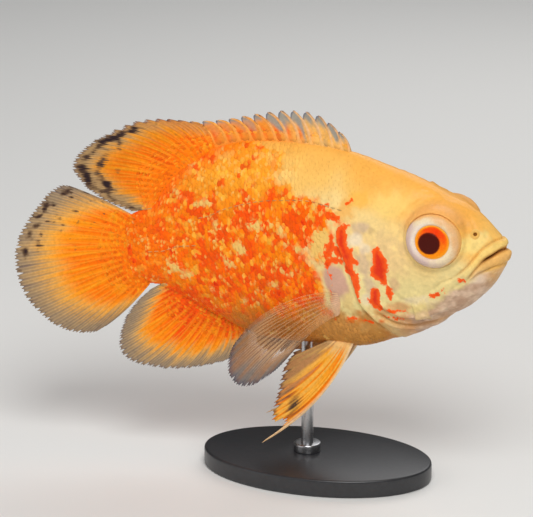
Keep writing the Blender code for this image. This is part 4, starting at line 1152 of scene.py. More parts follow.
def frayed(depth, seed=0.0, filament=0.0, lobes=0.0):
    """How far the margin is worn back from the full length, to a fine point at each branch. A
    filament is how far the first ray stands out alone beyond the web. Lobes are how far the web
    falls behind each of the first rays."""
    def loss(ray, inside):
        tooth = np.abs((inside * 2) % 1 - 0.5) * 2
        fine = np.abs((inside * 4) % 1 - 0.5) * 2
        branch = np.floor(ray * 4 + 0.5)
        uneven = 0.3 + 1.4 * noise(np.stack([branch, 0 * ray, 0 * ray + seed], -1), 0.9)
        worn = depth * uneven * (0.5 * tooth ** 0.8 + 0.7 * fine ** 0.7)
        worn = worn + lobes * inside ** 1.4 * ease(inside, 1.0, 0.94) * ease(ray, 12, 3)
        return worn * ease(ray, 0, 0.2) + filament * ease(ray, 0.05, 0.3) * ease(ray, 1.3, 0.7)
    return loss


# %% A fin from its middle surface
PROBE = 0.005  # a small step across or along a fin, as a share, that measures its slope


def width_and_normal(surface, share, t):
    """A fin's width for each share across it, and its unit normal."""
    across = surface(share + PROBE, t) - surface(share - PROBE, t)
    along = surface(share, t + 2 * PROBE) - surface(share, t - 2 * PROBE)
    normal = np.cross(along, across)
    normal /= np.linalg.norm(normal, axis=-1, keepdims=True)
    return np.linalg.norm(across, axis=-1) / (2 * PROBE), normal


def blade(name, look, slot, surface, rays, root_half, rows, colours, loss,
          steps=EVEN_STEPS, half=soft_half, ripple=0.45, fillet=False):
    """A fin from its middle surface. steps are the columns from one ray to the next, and colours
    gives the paint, how deep a point lies in dark marks, and how much the web hides."""
    ray = np.append((np.arange(rays - 1)[:, None] + steps).ravel(), rays - 1)
    inside = np.append(np.tile(steps, rays - 1), 0)
    share = ray / (rays - 1)
    length = np.linalg.norm(surface(share, 1.0) - surface(share, 0.0), axis=-1)
    reach = 1 - loss(ray, inside) / length
    t = reach[:, None] * np.linspace(0, 1, rows + 1)
    points = surface(share[:, None], t)
    width, normal = width_and_normal(surface, share[:, None], t)
    gap = width / (rays - 1)
    wave = noise(np.stack([ray[:, None] + 0 * t, 2.2 * t, 0 * t], -1), 2.4, 2, len(name)) - 0.5
    thick = half(inside[:, None] + 0 * t, t, gap, root_half)
    if fillet:
        thick = filleted(thick, points)
    points = points + normal * (ripple * 2 * wave * t ** 1.2)[..., None]

    grid = added(bpy.ops.mesh.primitive_grid_add, x_subdivisions=len(ray) - 1,
                 y_subdivisions=rows, size=1)
    flat = places_of(grid)
    column = np.rint((flat[:, 0] + 0.5) * (len(ray) - 1)).astype(int)
    row = np.rint((flat[:, 1] + 0.5) * rows).astype(int)
    move_vertices(grid, posed(points[column, row]))
    paint, dark, cover = colours(ray[:, None] + 0 * t, inside[:, None] + 0 * t, t, points, gap,
                                 (reach[:, None] - t) * length[:, None])
    store_look(grid, paint[column, row], dark[column, row])
    store(grid, "cover", (cover + 0 * t)[column, row])
    # Solidify reads each vertex's share of the greatest thickness from a vertex group
    most = thick.max()
    group = grid.vertex_groups.new(name="thickness")
    for index, weight in enumerate(thick[column, row] / most):
        group.add([index], weight, "REPLACE")
    solid = grid.modifiers.new("Thickness", "SOLIDIFY")
    solid.thickness = 2 * most * MM
    solid.offset = 0
    solid.vertex_group = group.name
    apply_all(grid)
    grid.vertex_groups.clear()
    face_outwards(grid)
    finish_piece(grid, name, look, slot, name)


# %% [markdown]
# ### Fin colours
#
# A fin is painted by pigment cells, many at its root and few at its margin, so its colour depends on
# how far along a ray a point lies and how far it is from the margin. Streaks run along the rays,
# because the cells line up between them.

# %% Fin colours
FIN_ORANGE, FIN_STREAK, FIN_EDGE, FIN_SMOKE = map(linear, ("FB7400", "FB920C", "B08E62", "7C7064"))
GOLD_RAY, FIN_YELLOW = map(linear, ("FCA830", "F2B450"))
FRINGE, PALE_RAY, SPINE_CREAM, WEB_BLUE = map(linear, ("44384E", "F0C88C", "E8B680", "9A9488"))
CLEAR_BROWN, CLEAR_GREY, NIGHT_BLUE, MAROON = map(linear, ("A06A3E", "7C7068", "303A5E", "50303A"))


def streaks(ray, t, width=0.5, length=0.5, seed=0.0):
    """Noise drawn out along the rays."""
    return noise(np.stack([ray / width, t / length, 0 * t + seed], -1), 1.0, 2) - 0.5


def web_drift(ray, t):
    """How the fins' colour wanders, in fine streaks and in broad ones."""
    return streaks(ray, t, 0.35) + 0.5 * streaks(ray, t, 3, 0.4, 5)


def lit_rays(colour, inside, t, gap, edge, strength):
    """Rays show a little paler than the web between them."""
    line = blend(GOLD_RAY, PALE_RAY, ease(edge, 9, 3))
    share = groove(ray_distance(inside, t, gap), 0.2) * strength * ease(t, 0.05, 0.3)
    return blend(colour, line, share * (0.5 + 0.5 * ease(edge, 2, 9)))


# Each fin's colours are asked for with ray (counted from the fin's first, with the share of the way
# to the next), inside (that share alone), t (the share along the ray), the points themselves, gap
# (from ray to ray) and edge (how far off the margin is), lengths in millimetres.
def caudal_colours(ray, inside, t, points, gap, edge):
    """Orange, then yellow, tan and smoke towards the margin, with small dark spots."""
    drift = web_drift(ray, t)
    cells = noise(points, 1.9, 2, 5.1) - 0.5
    outer = 1 - (edge + 8 * drift) / 19 + 0.2 * ease(np.abs(ray - 9), 5, 9)
    fringe = ease(streaks(ray, t, 0.25, 0.3, 31), 0.05, 0.25) * ease(outer, 0.7, 1) * 0.35
    colour = layered(
        FIN_ORANGE, (FIN_STREAK, ease(drift + 0.5 * t, 0.0, 0.6)),
        (FIN_STREAK, ease(cells, 0.05, 0.25) * ease(t, 0.5, 0.2)),
        (DEEP_ORANGE, ease(streaks(ray, t, 1.2, 0.3, 9) - 0.7 * t, -0.05, 0.25) * 0.6),
        (FIN_YELLOW, ease(outer, 0.05, 0.5) * 0.8), (FIN_EDGE, ease(outer, 0.25, 0.75)),
        (FIN_SMOKE, ease(outer, 0.6, 1.05) * 0.65), (FRINGE, fringe))
    colour = lit_rays(colour, inside, t, gap, edge, 0.4)
    spots = streaks(ray, t, 0.4, 0.05, 21) + 0.06 * ease(ray, 10, 3)
    dark = 9 * (spots - 0.2) - 1.6 * ease(edge, 5, 9) - 3.0 * ease(ray, 7, 11)
    return blend(colour, FRINGE, ease(edge, 1.1, 0.1) * 0.3), limited(dark), 1.0


def dorsal_colours(ray, inside, t, points, gap, edge):
    """Orange, with a chain of dark blots near the margin and a second one inside it."""
    drift = web_drift(ray, t)
    rear = ease(ray, 3, 9)
    outer = edge + 9 * drift
    colour = layered(
        FIN_ORANGE, (FIN_STREAK, ease(drift + 0.5 * t, 0.0, 0.6)),
        (DEEP_ORANGE, ease(streaks(ray, t, 1.2, 0.3, 9) - 0.5 * t, -0.05, 0.25) * 0.6),
        (FIN_YELLOW, ease(outer, 13.0, 5.0) * 0.7 * (0.4 + 0.6 * rear)),
        (FIN_EDGE, ease(outer, 9.5, 3.5) * (0.3 + 0.65 * rear)))
    colour = lit_rays(colour, inside, t, gap, edge, 0.4) * (1 - 0.17 * ease(t, 0.25, 0.6))[..., None]
    blots = 1.3 * (noise(points, 3.6, 2, 3.3) - 0.5) + 0.5 * streaks(ray, t, 0.4, 0.12, 17)
    chain = groove(edge - 2.8, 2.1) * ease(ray, 3, 7) * (1 - 0.35 * ease(ray, 13, 17))
    second = groove(edge - 8.0 - 5 * drift, 1.7) * ease(ray, 7, 10) * ease(ray, 17, 14)
    cells = noise(points, 1.5, 1, 13.0) - 0.5
    dark = 3.9 * chain + 2.9 * second + 3.6 * blots + 2.4 * cells - 2.4
    return blend(colour, NIGHT_BLUE, ease(edge, 1.2, 0.2) * 0.5), limited(dark), 1.0


def anal_colours(ray, inside, t, points, gap, edge):
    """Flame at the root, then orange, yellow and a wide smoky margin."""
    drift = web_drift(ray, t)
    cells = noise(points, 1.7, 2, 2.1) - 0.5
    outer = edge + 9 * drift
    colour = layered(
        FLAME, (FIN_ORANGE, ease(t + drift, 0.0, 0.45)), (FIN_STREAK, ease(t + drift, 0.35, 0.8) * 0.8),
        (FIN_STREAK, ease(cells, 0.1, 0.25) * ease(t, 0.5, 0.2)),
        (FIN_YELLOW, ease(outer, 12.5, 6.5) * 0.8), (FIN_EDGE, ease(outer, 10.5, 5.0) * 0.95),
        (FIN_SMOKE, ease(outer, 7.0, 1.5) * 0.75))
    colour = lit_rays(colour, inside, t, gap, edge, 0.4)
    return blend(colour, NIGHT_BLUE, ease(edge, 1.0, 0.1) * 0.45), UNMARKED + 0 * t, 1.0


def spine_colours(ray, inside, t, points, gap, edge):
    """Cream spines with a gold web that turns blue-grey towards its edge."""
    away = np.minimum(inside, 1 - inside) * gap
    root = blend(linear("EEB25C"), linear("F59430"), ease(ray, 3, 8))
    flame = groove(inside - 0.75, 0.2) * groove(t - 0.3, 0.16) * ease(ray, 3, 5) * 0.6
    spine = blend(SPINE_CREAM, linear("F4A248"), ease(ray, 3.5, 8.5) * ease(t, 1.0, 0.8))
    colour = layered(
        WEB_BLUE, (root, ease(t + streaks(ray, t), 0.62, 0.3)),
        (linear("F08A2C"), ease(ray, 5.5, 11) * ease(t, 0.9, 0.6) * 0.85), (FLAME, flame),
        (spine, ease(away, 0.75, 0.3) * ease(t, 0.05, 0.4)),
        (linear("565C74"), ease(edge, 0.9, 0.1) * ease(away, 0.4, 0.8) * 0.8),
        (linear("6A6470"), ease(t, 0.93, 1.0) * 0.6))
    return colour, UNMARKED + 0 * t, 1.0


def chest_colours(ray, inside, t, points, gap, edge):
    """Nearly clear at the root, and browner and denser towards the edge."""
    drift = streaks(ray, t, 0.5, 0.5)
    away = ray_distance(inside, t, gap)
    colour = layered(
        CLEAR_BROWN, (CLEAR_GREY, ease(t + 0.6 * drift, 0.6, 1.05)), (PAD, ease(t, 0.3, 0.08)),
        (linear("E6BC8C"), groove(away, 0.22) * ease(t, 1.0, 0.5) * 0.8),
        (NIGHT_BLUE, ease(edge, 3.0, 0.1) * ease(t, 0.5, 0.8) * 0.5))
    cover = 0.04 + 0.72 * ease(t + 0.3 * drift, 0.46, 0.76) * (0.15 + 0.85 * ease(ray, 0.2, 2.6))
    cover = cover + 0.18 * groove(away, 0.16) * ease(t, 0.9, 0.6)
    cover = cover + 0.9 * ease(t, 0.11, 0.05)
    return colour, UNMARKED + 0 * t, np.clip(cover, 0, 1)


def hip_colours(ray, inside, t, points, gap, edge):
    """Orange with a pale first ray, a tan rear, a maroon edge and one dark blot near the tip."""
    drift = streaks(ray, t, 0.22, 0.5) + 0.4 * streaks(ray, t, 1.2, 0.3, 4)
    colour = layered(
        linear("FCA828"), (FIN_ORANGE, ease(drift + 0.25 * t, 0.0, 0.3) * 0.8),
        (linear("F8C060"), ease(-drift, 0.03, 0.2) * 0.5),
        (linear("F0BE78"), ease(t + 0.3 * drift, 0.2, 0.06) * 0.9),
        (FIN_EDGE, ease(ray + 1.4 * t + 2.5 * drift, 3.2, 4.6) * 0.8),
        (linear("F0CC9C"), ease(ray + 0.5 * drift, 0.55, 0.15) * 0.9),
        (MAROON, ease(edge, 1.8, 0.2) * ease(ray, 1.0, 1.8) * 0.7))
    return colour, limited(1.6 - np.hypot((ray - 1.45) * 2.5, (t - 0.76) * 18) + 5 * drift), 1.0


print("pale ray as light:", PALE_RAY.round(3))

# %% Spines, and each fin
def spine_half(inside, t, gap, root_half):
    """Half the thickness of the spiny fin, whose spines are stout and don't branch."""
    away = np.minimum(inside, 1 - inside) * gap
    body = SPINE_WEB + (SPINE_RIDGE * (1 - t) + SPINE_TIP * t) * groove(away, 0.62 - 0.2 * t)
    return body + (root_half - body) * fleshy(t)


def spine_loss(ray, inside):
    """Between spines the web drops from near one tip to low on the next spine."""
    sag = 0.35 + 4.6 * inside ** 1.7
    return np.where((inside < 0.075) | (inside > 0.945), 0, sag)


# Fin web is a thin skin of collagen with pigment cells in it. Where cells are many it looks like
# orange satin, and its few dark cells show as soft-edged blots.
orange_web = tissue("rayed_orange_web", 0.45, "5E4634", "2E2022", "E8C88C", 0.9, soft_mm=0.8)
# The pectoral web has hardly any pigment, so it is clear, and only its rays and edge stop the eye
clear_web = tissue("rayed_clear_web", 0.4, "5A4A4A", "4A3A3A", "E8C88C", 0.5, clear=True)

SPINES = surface_of(along_edge(SPINES_ROOT, top, -SINK, 1.15), mirrored(SPINES_TIPS, 1),
                    changing((-0.9, 0, 0.9), (-1.5, 0, 2.4)))
DORSAL = surface_of(along_edge(DORSAL_ROOT, top, -SINK), mirrored(DORSAL_TIPS, 1),
                    changing((-1.5, 0, 2.4), (0, 0, 0)))
ANAL = surface_of(along_edge(ANAL_ROOT, bottom, SINK), mirrored(ANAL_TIPS, 1),
                  changing((-1.8, 0, -2.2), (0, 0, 0)))
TAIL = surface_of(tail_root, mirrored(TAIL_TIPS, 1), changing((0, 0, 0.8), (0, 0, -1.0)))
# How many spines or rays each has, and half its thickness at the root in millimetres
SPINES_BUILD, DORSAL_BUILD, ANAL_BUILD, TAIL_BUILD = (13, 1.3), (20, 1.5), (19, 1.5), (19, 1.15)
CHEST_BUILD, HIP_BUILD = (14, 1.2), (6, 1.3)
HIP_STEPS = np.arange(24) / 24

blade("dorsal_fin_spines", orange_web, "fin", SPINES, *SPINES_BUILD, 26, spine_colours, spine_loss,
      steps=SPINE_STEPS, half=spine_half, ripple=0.2)
blade("dorsal_fin_soft", orange_web, "fin", DORSAL, *DORSAL_BUILD, 54, dorsal_colours,
      frayed(1.5, 3, lobes=3.0), fillet=True)
blade("anal_fin", orange_web, "fin", ANAL, *ANAL_BUILD, 48, anal_colours,
      frayed(1.5, 6, lobes=1.0), fillet=True)
blade("caudal_fin", orange_web, "fin", TAIL, *TAIL_BUILD, 56, caudal_colours, frayed(1.7, 9))
for side_name, sign in (("right", -1), ("left", 1)):
    chest = surface_of(chest_root(sign), mirrored(CHEST_TIPS, sign),
                       changing((1.0, 2.2, 4.2), (1.0, 2.2, 0), sign))
    blade("pectoral_fin_" + side_name, clear_web, "clear_fin", chest, *CHEST_BUILD, 40, chest_colours,
          frayed(1.7, 12), ripple=0.35)
    hip = surface_of(changing(*HIP_ROOT, sign), hip_tips(sign),
                     changing((-3.2, 0, -2.8), (0, 0, 0), sign))
    blade("pelvic_fin_" + side_name, orange_web, "fin", hip, *HIP_BUILD, 50, hip_colours,
          frayed(2.2, 15, filament=6.5), steps=HIP_STEPS, ripple=0.4)

# %% [markdown]
# ## The scales
#
# About 4,300 scales lie like roof tiles from the nape to the tail, each rooted under the one ahead.
# One scale is modelled by hand as a small domed shield. Copies are then bent over the skin itself,
# so that none floats or cuts in, in rows that follow the body down to the tail.

# %% One scale
def shield(sides=14):
    """A domed plate, 1 long and 1 wide, with its root at x = 0 and its free edge at x = 1."""
    obj = added(bpy.ops.mesh.primitive_circle_add, vertices=sides, radius=0.5, fill_type="NGON")
    bpy.ops.object.mode_set(mode="EDIT")
    bpy.ops.mesh.select_all(action="SELECT")
    bpy.ops.mesh.extrude_region_move(TRANSFORM_OT_translate={"value": (0, 0, 0.7)})
    bpy.ops.mesh.inset(thickness=0.1, depth=0)
    bpy.ops.transform.translate(value=(0, 0, 0.3))
    bpy.ops.mesh.poke(offset=0.0)
    bpy.ops.object.mode_set(mode="OBJECT")
    places = places_of(obj) + (0.5, 0, 0)
    faces = [list(face.vertices) for face in obj.data.polygons]
    bpy.data.objects.remove(obj)
    return places, faces


SHIELD, SHIELD_FACES = shield()
print("one scale has", len(SHIELD), "points and", len(SHIELD_FACES), "faces")


def on_skin(back, around):
    """Points of the skin and its outward directions, at distances behind the snout and shares round."""
    r = np.interp(back, ring_back, np.arange(RINGS + 1))
    s = (around % 1) * AROUND
    i = np.clip(np.floor(r).astype(int), 0, RINGS - 1)
    j = np.floor(s).astype(int)
    place, direction = 0.0, 0.0
    for down, over in itertools.product((0, 1), repeat=2):
        share = (np.abs(1 - down - (r - i)) * np.abs(1 - over - (s - j)))[..., None]
        place = place + share * body[i + down, (j + over) % AROUND]
        direction = direction + share * normals[i + down, (j + over) % AROUND]
    return place, direction


# %% Where each scale is rooted
COAT_START, COAT_END, STATION_STEP = 28.0, 130.4, 1.2
SCALE_LENGTH, SCALE_BREADTH, JITTER_ALONG, JITTER_ROUND = 2.95, 1.5, 0.5, 0.35
ROOT_DEPTH, EDGE_LIFT, SCALE_THICKNESS = -0.16, 0.18, 0.15
# How many scales stand round the body from each distance behind the snout on
ROWS_ROUND = ((COAT_START, 72), (104, 60), (112, 50), (119, 40), (125.5, 32))

roots = []
for number, back in enumerate(np.arange(COAT_START, COAT_END, STATION_STEP)):
    count = [rows for start, rows in ROWS_ROUND if back >= start - 1e-6][-1]
    around = (np.arange(count) + 0.5 * (number % 2)) / count
    roots.append(np.stack([back + 0 * around, around, 1.0 / count + 0 * around], -1))
roots = np.vstack(roots)
middle, _ = on_skin(roots[:, 0], roots[:, 1])
past_front = from_line(middle[:, [0, 2]], COAT_FRONT, reach=120)[2]
keep = (past_front > 0.3) & (from_pad(middle) > 1.0)
none = 0 * roots[:, 2]
jitter = np.stack([none + JITTER_ALONG, roots[:, 2] * JITTER_ROUND, none], -1)
roots = roots + (dice.random(roots.shape) - 0.5) * jitter
roots, middle = roots[keep], middle[keep]
print(len(roots), "scales")

# %% Building a coat from many scales
BAKE_PATCH = 0.0028  # how large one scale is on the bake map, as a share of the map
BAKE_LENGTH = 132  # the millimetres of fish that the map's height stands for


def on_map(share):
    """A share of the bake map, kept a little inside its edges."""
    return share * 0.98 + 0.01


def joined_copies(template, faces, places):
    """One mesh from many bent copies of a template, given as (copy, point, coordinate)."""
    starts = np.arange(len(places)) * len(template)
    joined = [(np.array(face) + start).tolist() for start in starts for face in faces]
    obj = added(bpy.ops.mesh.primitive_plane_add, size=1)
    obj.data.clear_geometry()
    obj.data.from_pydata(places.reshape(-1, 3), [], joined)
    return obj


def coat_piece(name, slot, look, places, paint, mark, pale, spots, *nodes):
    """A coat of scales. Its bake map gives each scale a small patch where its root is on the unwrap."""
    obj = joined_copies(SHIELD, SHIELD_FACES, places)
    store_look(obj, paint.reshape(-1, 3), mark.ravel(), pale.ravel())
    patch = (spots[:, None] + BAKE_PATCH * (SHIELD[None, :, :2] - (0.5, 0))).reshape(-1, 2)
    corner = np.empty(len(obj.data.loops), int)
    obj.data.loops.foreach_get("vertex_index", corner)
    layer = obj.data.uv_layers.new(name="OFBake")
    layer.data.foreach_set("uv", patch[corner].ravel())
    finish_piece(obj, name, look, slot, *nodes)


# %% The body's coat
# Pale gold for the painted highlights on the free edges of scales
GLINT_GOLD = linear("FFD468")
COAT_SPLIT = 82  # the coat is cut here into a front and a rear piece, to keep each piece small

# x runs along a scale from its root and z up from its underside, both from 0 to 1, and y across it
x, y, z = SHIELD.T
count = len(roots)
centre = on_skin(roots[:, 0] + 1.8, roots[:, 1])[0]
plain = (1 - flank_share(centre)) * ease(centre[:, 0], 74, 64)
size = SCALE_LENGTH * (0.92 + 0.16 * dice.random(count))
size = size * np.interp(roots[:, 0], (28, 45, 118, 130), (0.8, 1, 0.95, 0.8))
away = roots[:, 0, None] + x * size[:, None]
bent = roots[:, 1, None] + y * (1 - 0.25 * (1 - x)) * SCALE_BREADTH * roots[:, 2, None]
place, outside = on_skin(away, bent)
lift = EDGE_LIFT * (1 + 0.5 * (dice.random(count) - 0.5)) * (1 - 0.85 * plain)
tilt = ROOT_DEPTH + (lift[:, None] - ROOT_DEPTH) * x
tilt = tilt + SCALE_THICKNESS * (z - 1) * (1 - 0.7 * plain[:, None]) - 0.05 * (2 * y) ** 2
place = place + outside * tilt[..., None]

sample = 0.45 * place + 0.55 * centre[:, None]
own_shift = (dice.random(count) - 0.5)[:, None]
paint = skin_colour(sample) * (1 + (0.22 - 0.16 * plain) * (dice.random(count) - 0.5))[:, None, None]
mark = red_field(sample) + np.where(marked(centre, RED_MARKS) > -1.5, 0, 1.1)[:, None] * own_shift
pale = pale_field(sample) - 1.2 * own_shift
glint_share = ease(dice.random(count) + 0.8 * (noise(centre, 6, 2, 5.5) - 0.5), 0.72, 0.95)
glint_share = glint_share * (0.12 + 0.7 * flank_share(centre)) * ease(centre[:, 2], -26, -16)
# The free edge of some scales is painted pale gold: a painted highlight that stands in for the glints of
# light off wet scales, bright over the orange
glint = ease(x, 0.78, 0.96) * glint_share[:, None]
paint = blend(paint, GLINT_GOLD, glint)
# The painted glints show over the red marks too
mark = mark - 3.0 * glint
# Each scale is painted darker towards its root, as painted shade under the free edge of the scale ahead;
# less so on the plain nape
paint = paint * (1 - 0.22 * ease(x, 0.5, 0.2) * (1 - 0.9 * plain[:, None]))[..., None]
spots = np.stack([on_map(roots[:, 1] % 1), on_map(roots[:, 0] / BAKE_LENGTH)], -1)
for front_back, low, high in (("front", 0, COAT_SPLIT), ("rear", COAT_SPLIT, TOTAL_LENGTH)):
    for side_name, sign in (("right", -1), ("left", 1)):
        part = (roots[:, 0] >= low) & (roots[:, 0] < high) & (sign * (middle[:, 1] + 1e-6) > 0)
        coat_piece(f"scales_{front_back}_{side_name}", "orange_skin", living_skin, posed(place[part]),
                   paint[part], mark[part], pale[part], spots[part], "torso")

# %% [markdown]
# ### Scales on the fins
#
# On an oscar the scales run up over the roots of the soft dorsal, anal and tail fins and get smaller
# until they stop among the rays, so the body has no edge there. The same shield is bent over
# both faces of each fin's fleshy root.

# %% Fin-root scales
# Honey gold for the painted highlights on the free edges of fin scales
GLINT_HONEY = linear("FEAC28")
WEB_HALF = 0.3  # half the web's thickness under the scales, in millimetres


def fin_scales(name, surface, rays, root_half, first, last, pitch, colours):
    """Covers both faces of a fin from one share of its rays to another with shrinking scales."""
    share = np.linspace(0, 1, 60)
    root_width = np.linalg.norm(np.diff(surface(share, 0.15), axis=0), axis=-1).sum()
    length = np.linalg.norm(surface(share, 1.0) - surface(share, 0.0), axis=-1)
    columns = int(root_width / pitch)
    seeds = []
    for row, t in enumerate(np.arange(first, last, 0.62 * pitch / length.mean())):
        spread = (np.arange(columns) + 0.25 + 0.5 * (row % 2)) / (columns + 0.25)
        seeds.append(np.stack([spread, t + 0.006 * (dice.random(columns) - 0.5)], -1))
    seeds = np.vstack(seeds)
    limit = last - 0.5 * (last - first) * noise(seeds * (18, 18) @ ((1, 0, 0), (0, 1, 0)), 2.0)
    seeds = seeds[seeds[:, 1] < limit]
    fade = 1 - 0.45 * (seeds[:, 1] - first) / (last - first)
    reach = np.interp(seeds[:, 0], share, length)
    long = 1.5 * pitch * fade / reach
    wide = 1.35 * fade / columns
    s = np.clip(seeds[:, 0, None] + y * wide[:, None], -0.004, 1.004)
    t = seeds[:, 1, None] + x * long[:, None]
    middle_place = surface(s, t)
    width, normal = width_and_normal(surface, s, t)
    gap = width / (rays - 1)
    half = WEB_HALF + (root_half - WEB_HALF) * fleshy(t)
    if surface in (DORSAL, ANAL):
        half = filleted(half, middle_place)
    whole = {"places": [], "paint": [], "spots": []}
    for face in (-1, 1):
        height = half - 0.08 + 0.17 * x + 0.10 * (z - 1) - 0.03 * (2 * y) ** 2
        places = middle_place + face * normal * height[..., None]
        ray = s * (rays - 1)
        tint, _, _ = colours(ray, ray % 1, t, places, gap, (1 - t) * reach[:, None])
        patch = noise(places, 3.0, 3, 5.5) - 0.5
        chance = dice.random(len(seeds))[:, None]
        tint = blend(tint, FLAME, ease(patch + 0.2 * (chance - 0.5), 0.04, 0.2) * 0.4)
        # Some scales get a painted highlight on their free edge, standing in for the glints of wet scales
        fin_glint = ease(dice.random(len(seeds))[:, None] + 0.5 * patch, 0.72, 0.95)
        tint = blend(tint, GLINT_HONEY, fin_glint * ease(x, 0.6, 0.95) * 0.75)
        tint = tint * (0.84 + 0.26 * dice.random(len(seeds)))[:, None, None]
        # Painted shade darkens each scale towards its root, under the scale ahead
        tint = tint * (1 - 0.28 * ease(x, 0.5, 0.2))[None, :, None]
        whole["places"].append(places)
        whole["paint"].append(tint)
        column = 0.25 + 0.25 * face + 0.5 * seeds[:, 0] * 0.94 + 0.015
        whole["spots"].append(np.stack([column, on_map(seeds[:, 1])], -1))
    places, paint, spots = (np.concatenate(whole[key]) for key in ("places", "paint", "spots"))
    plain = np.full(places.shape[:2], UNMARKED)
    coat_piece(name, "fin", living_skin, posed(places), paint, plain, plain, spots)


fin_scales("scales_on_spiny_fin", SPINES, *SPINES_BUILD, 0.10, 0.3, 1.6, spine_colours)
fin_scales("scales_on_dorsal_fin", DORSAL, *DORSAL_BUILD, 0.035, 0.44, 1.35, dorsal_colours)
fin_scales("scales_on_anal_fin", ANAL, *ANAL_BUILD, 0.035, 0.42, 1.35, anal_colours)
fin_scales("scales_on_caudal_fin", TAIL, *TAIL_BUILD, 0.0, 0.36, 1.35, caudal_colours)

# %% [markdown]
# ### The lateral line
#
# Along the side runs a sense organ, a row of scales that each carry a fine raised tube. It has a
# long upper part and a short lower one on the tail stalk.

# %% Lateral line tubes
LATERAL_UPPER = ((52.1, 14.6), (59.5, 16.5), (64.5, 17.7), (70.9, 17.9), (82.4, 17.6), (94.6, 15.2),
                 (101.1, 12.8), (105.9, 12.0))
LATERAL_LOWER = ((106.2, 3.0), (114.1, 2.4), (119, 1.0), (127, 0.5))
TUBE_PITCH, TUBE_LENGTH, TUBE_WIDTH, TUBE_LIFT = 2.35, 1.75, 0.38, 0.16
LATERAL_PALE, LATERAL_GREY = map(linear, ("D8B070", "9A7C50"))
girth = np.linalg.norm(np.roll(body, -1, 1) - body, axis=-1).sum(1)


def round_share(back, up, sign):
    """Where on a ring of the skin a height on one side lies, as a share round from the back."""
    spokes = np.arange(1, AROUND // 2) if sign > 0 else np.arange(AROUND - 1, AROUND // 2, -1)
    nearest = np.rint(np.interp(back, ring_back, np.arange(RINGS + 1))).astype(int)
    heights = body[nearest][:, spokes, 2]
    return np.array([np.interp(-height, -line, spokes) for height, line in zip(up, heights)]) / AROUND


bead = added(bpy.ops.mesh.primitive_uv_sphere_add, segments=8, ring_count=6, radius=0.5)
bead_places = places_of(bead)
bead_faces = [list(face.vertices) for face in bead.data.polygons]
bpy.data.objects.remove(bead)
tubes = []
for line, sign in itertools.product((LATERAL_UPPER, LATERAL_LOWER), (-1, 1)):
    far = sum(math.dist(a, b) for a, b in zip(line, line[1:]))
    spot = path_through(line)((np.arange(int(far / TUBE_PITCH)) + 0.5) * TUBE_PITCH / far)
    around = round_share(spot[:, 0], spot[:, 1], sign)
    ahead = np.gradient(around) / np.gradient(spot[:, 0])
    run = bead_places[:, 2] * TUBE_LENGTH
    back = spot[:, 0, None] + run
    ring_length = np.interp(spot[:, 0], ring_back, girth)[:, None]
    round_at = around[:, None] + ahead[:, None] * run + bead_places[:, 0] * TUBE_WIDTH / ring_length
    place, outside = on_skin(back, round_at)
    tubes.append(place + outside * (TUBE_LIFT + bead_places[:, 1:2] * TUBE_WIDTH * 0.9)[None])
tubes = np.concatenate(tubes)
lateral = joined_copies(bead_places, bead_faces, posed(tubes))
grey = dice.random(len(tubes))[:, None] + 0 * tubes[..., 0]
tube_paint = layered(LATERAL_PALE, (LATERAL_GREY, grey), (skin_colour(tubes), 0.4))
store_look(lateral, tube_paint.reshape(-1, 3))
face_outwards(lateral)
finish_piece(lateral, "lateral_line", living_skin, "orange_skin")

# %% [markdown]
# ## The stand
#
# A display stand for a model like this is a pressed oval plate with a sprayed lacquer, and a ground
# steel rod in a turned collar. All three start as cylinders, and a bevel rounds the edges of the
# plate and the collar. The rod's ends are hidden, one in the fish and one in the plate.

# %% Lacquered base and steel rod
BASE, RIM_RADIUS = (0.078, 0.050, 0.006), 0.0008
ROD_RADIUS, ROD_INTO_FISH, ROD_INTO_BASE = 0.002, 0.0012, 0.001
COLLAR, COLLAR_EDGE = (0.0045, 0.003), 0.0005
ROD_BACK = 73.5  # how far behind the snout the rod stands, in millimetres


def bevelled(obj, width):
    """Rounds the sharp edges of a turned or pressed piece."""
    bevel = obj.modifiers.new("Rounded edge", "BEVEL")
    bevel.width = width
    bevel.segments = 4
    bevel.limit_method = "ANGLE"
    bevel.angle_limit = math.radians(40)
    apply_all(obj)


def lacquer():
    """Sprayed black lacquer: a dark pigment layer with fine orange peel, which softens its shine."""
    look, tree, shader = new_material("black_lacquer", Roughness=0.35)
    place = node(tree, "TexCoord").outputs["Object"]
    peel = node(tree, "TexNoise", Vector=place, Scale=1 / (1.5 * MM), Detail=1.0).outputs["Fac"]
    tone = node(tree, "MixRGB", Fac=peel, Color1=opaque("2A2A2C"), Color2=opaque("38383A"))
    relief = node(tree, "Bump", Height=peel, Distance=0.01 * MM)
    tree.links.new(tone.outputs[0], shader.inputs["Base Color"])
    tree.links.new(relief.outputs[0], shader.inputs["Normal"])
    return look


def ground_steel():
    """Steel ground on a lathe, which leaves fine lines round it that spread its shine along it."""
    look, tree, shader = new_material("brushed_steel", Metallic=1.0)
    place = node(tree, "TexCoord").outputs["Object"]
    drawn = node(tree, "VectorMath", {"operation": "MULTIPLY"}, _0=place, _1=(1, 1, 12)).outputs[0]
    lines = node(tree, "TexNoise", Vector=drawn, Scale=1 / (1.2 * MM), Detail=2.0).outputs["Fac"]
    rough = node(tree, "MapRange", Value=lines, To_Min=0.22, To_Max=0.38)
    tone = node(tree, "MixRGB", Fac=lines, Color1=opaque("B9B9BB"), Color2=opaque("CFCFD0"))
    tree.links.new(tone.outputs[0], shader.inputs["Base Color"])
    tree.links.new(rough.outputs[0], shader.inputs["Roughness"])
    return look


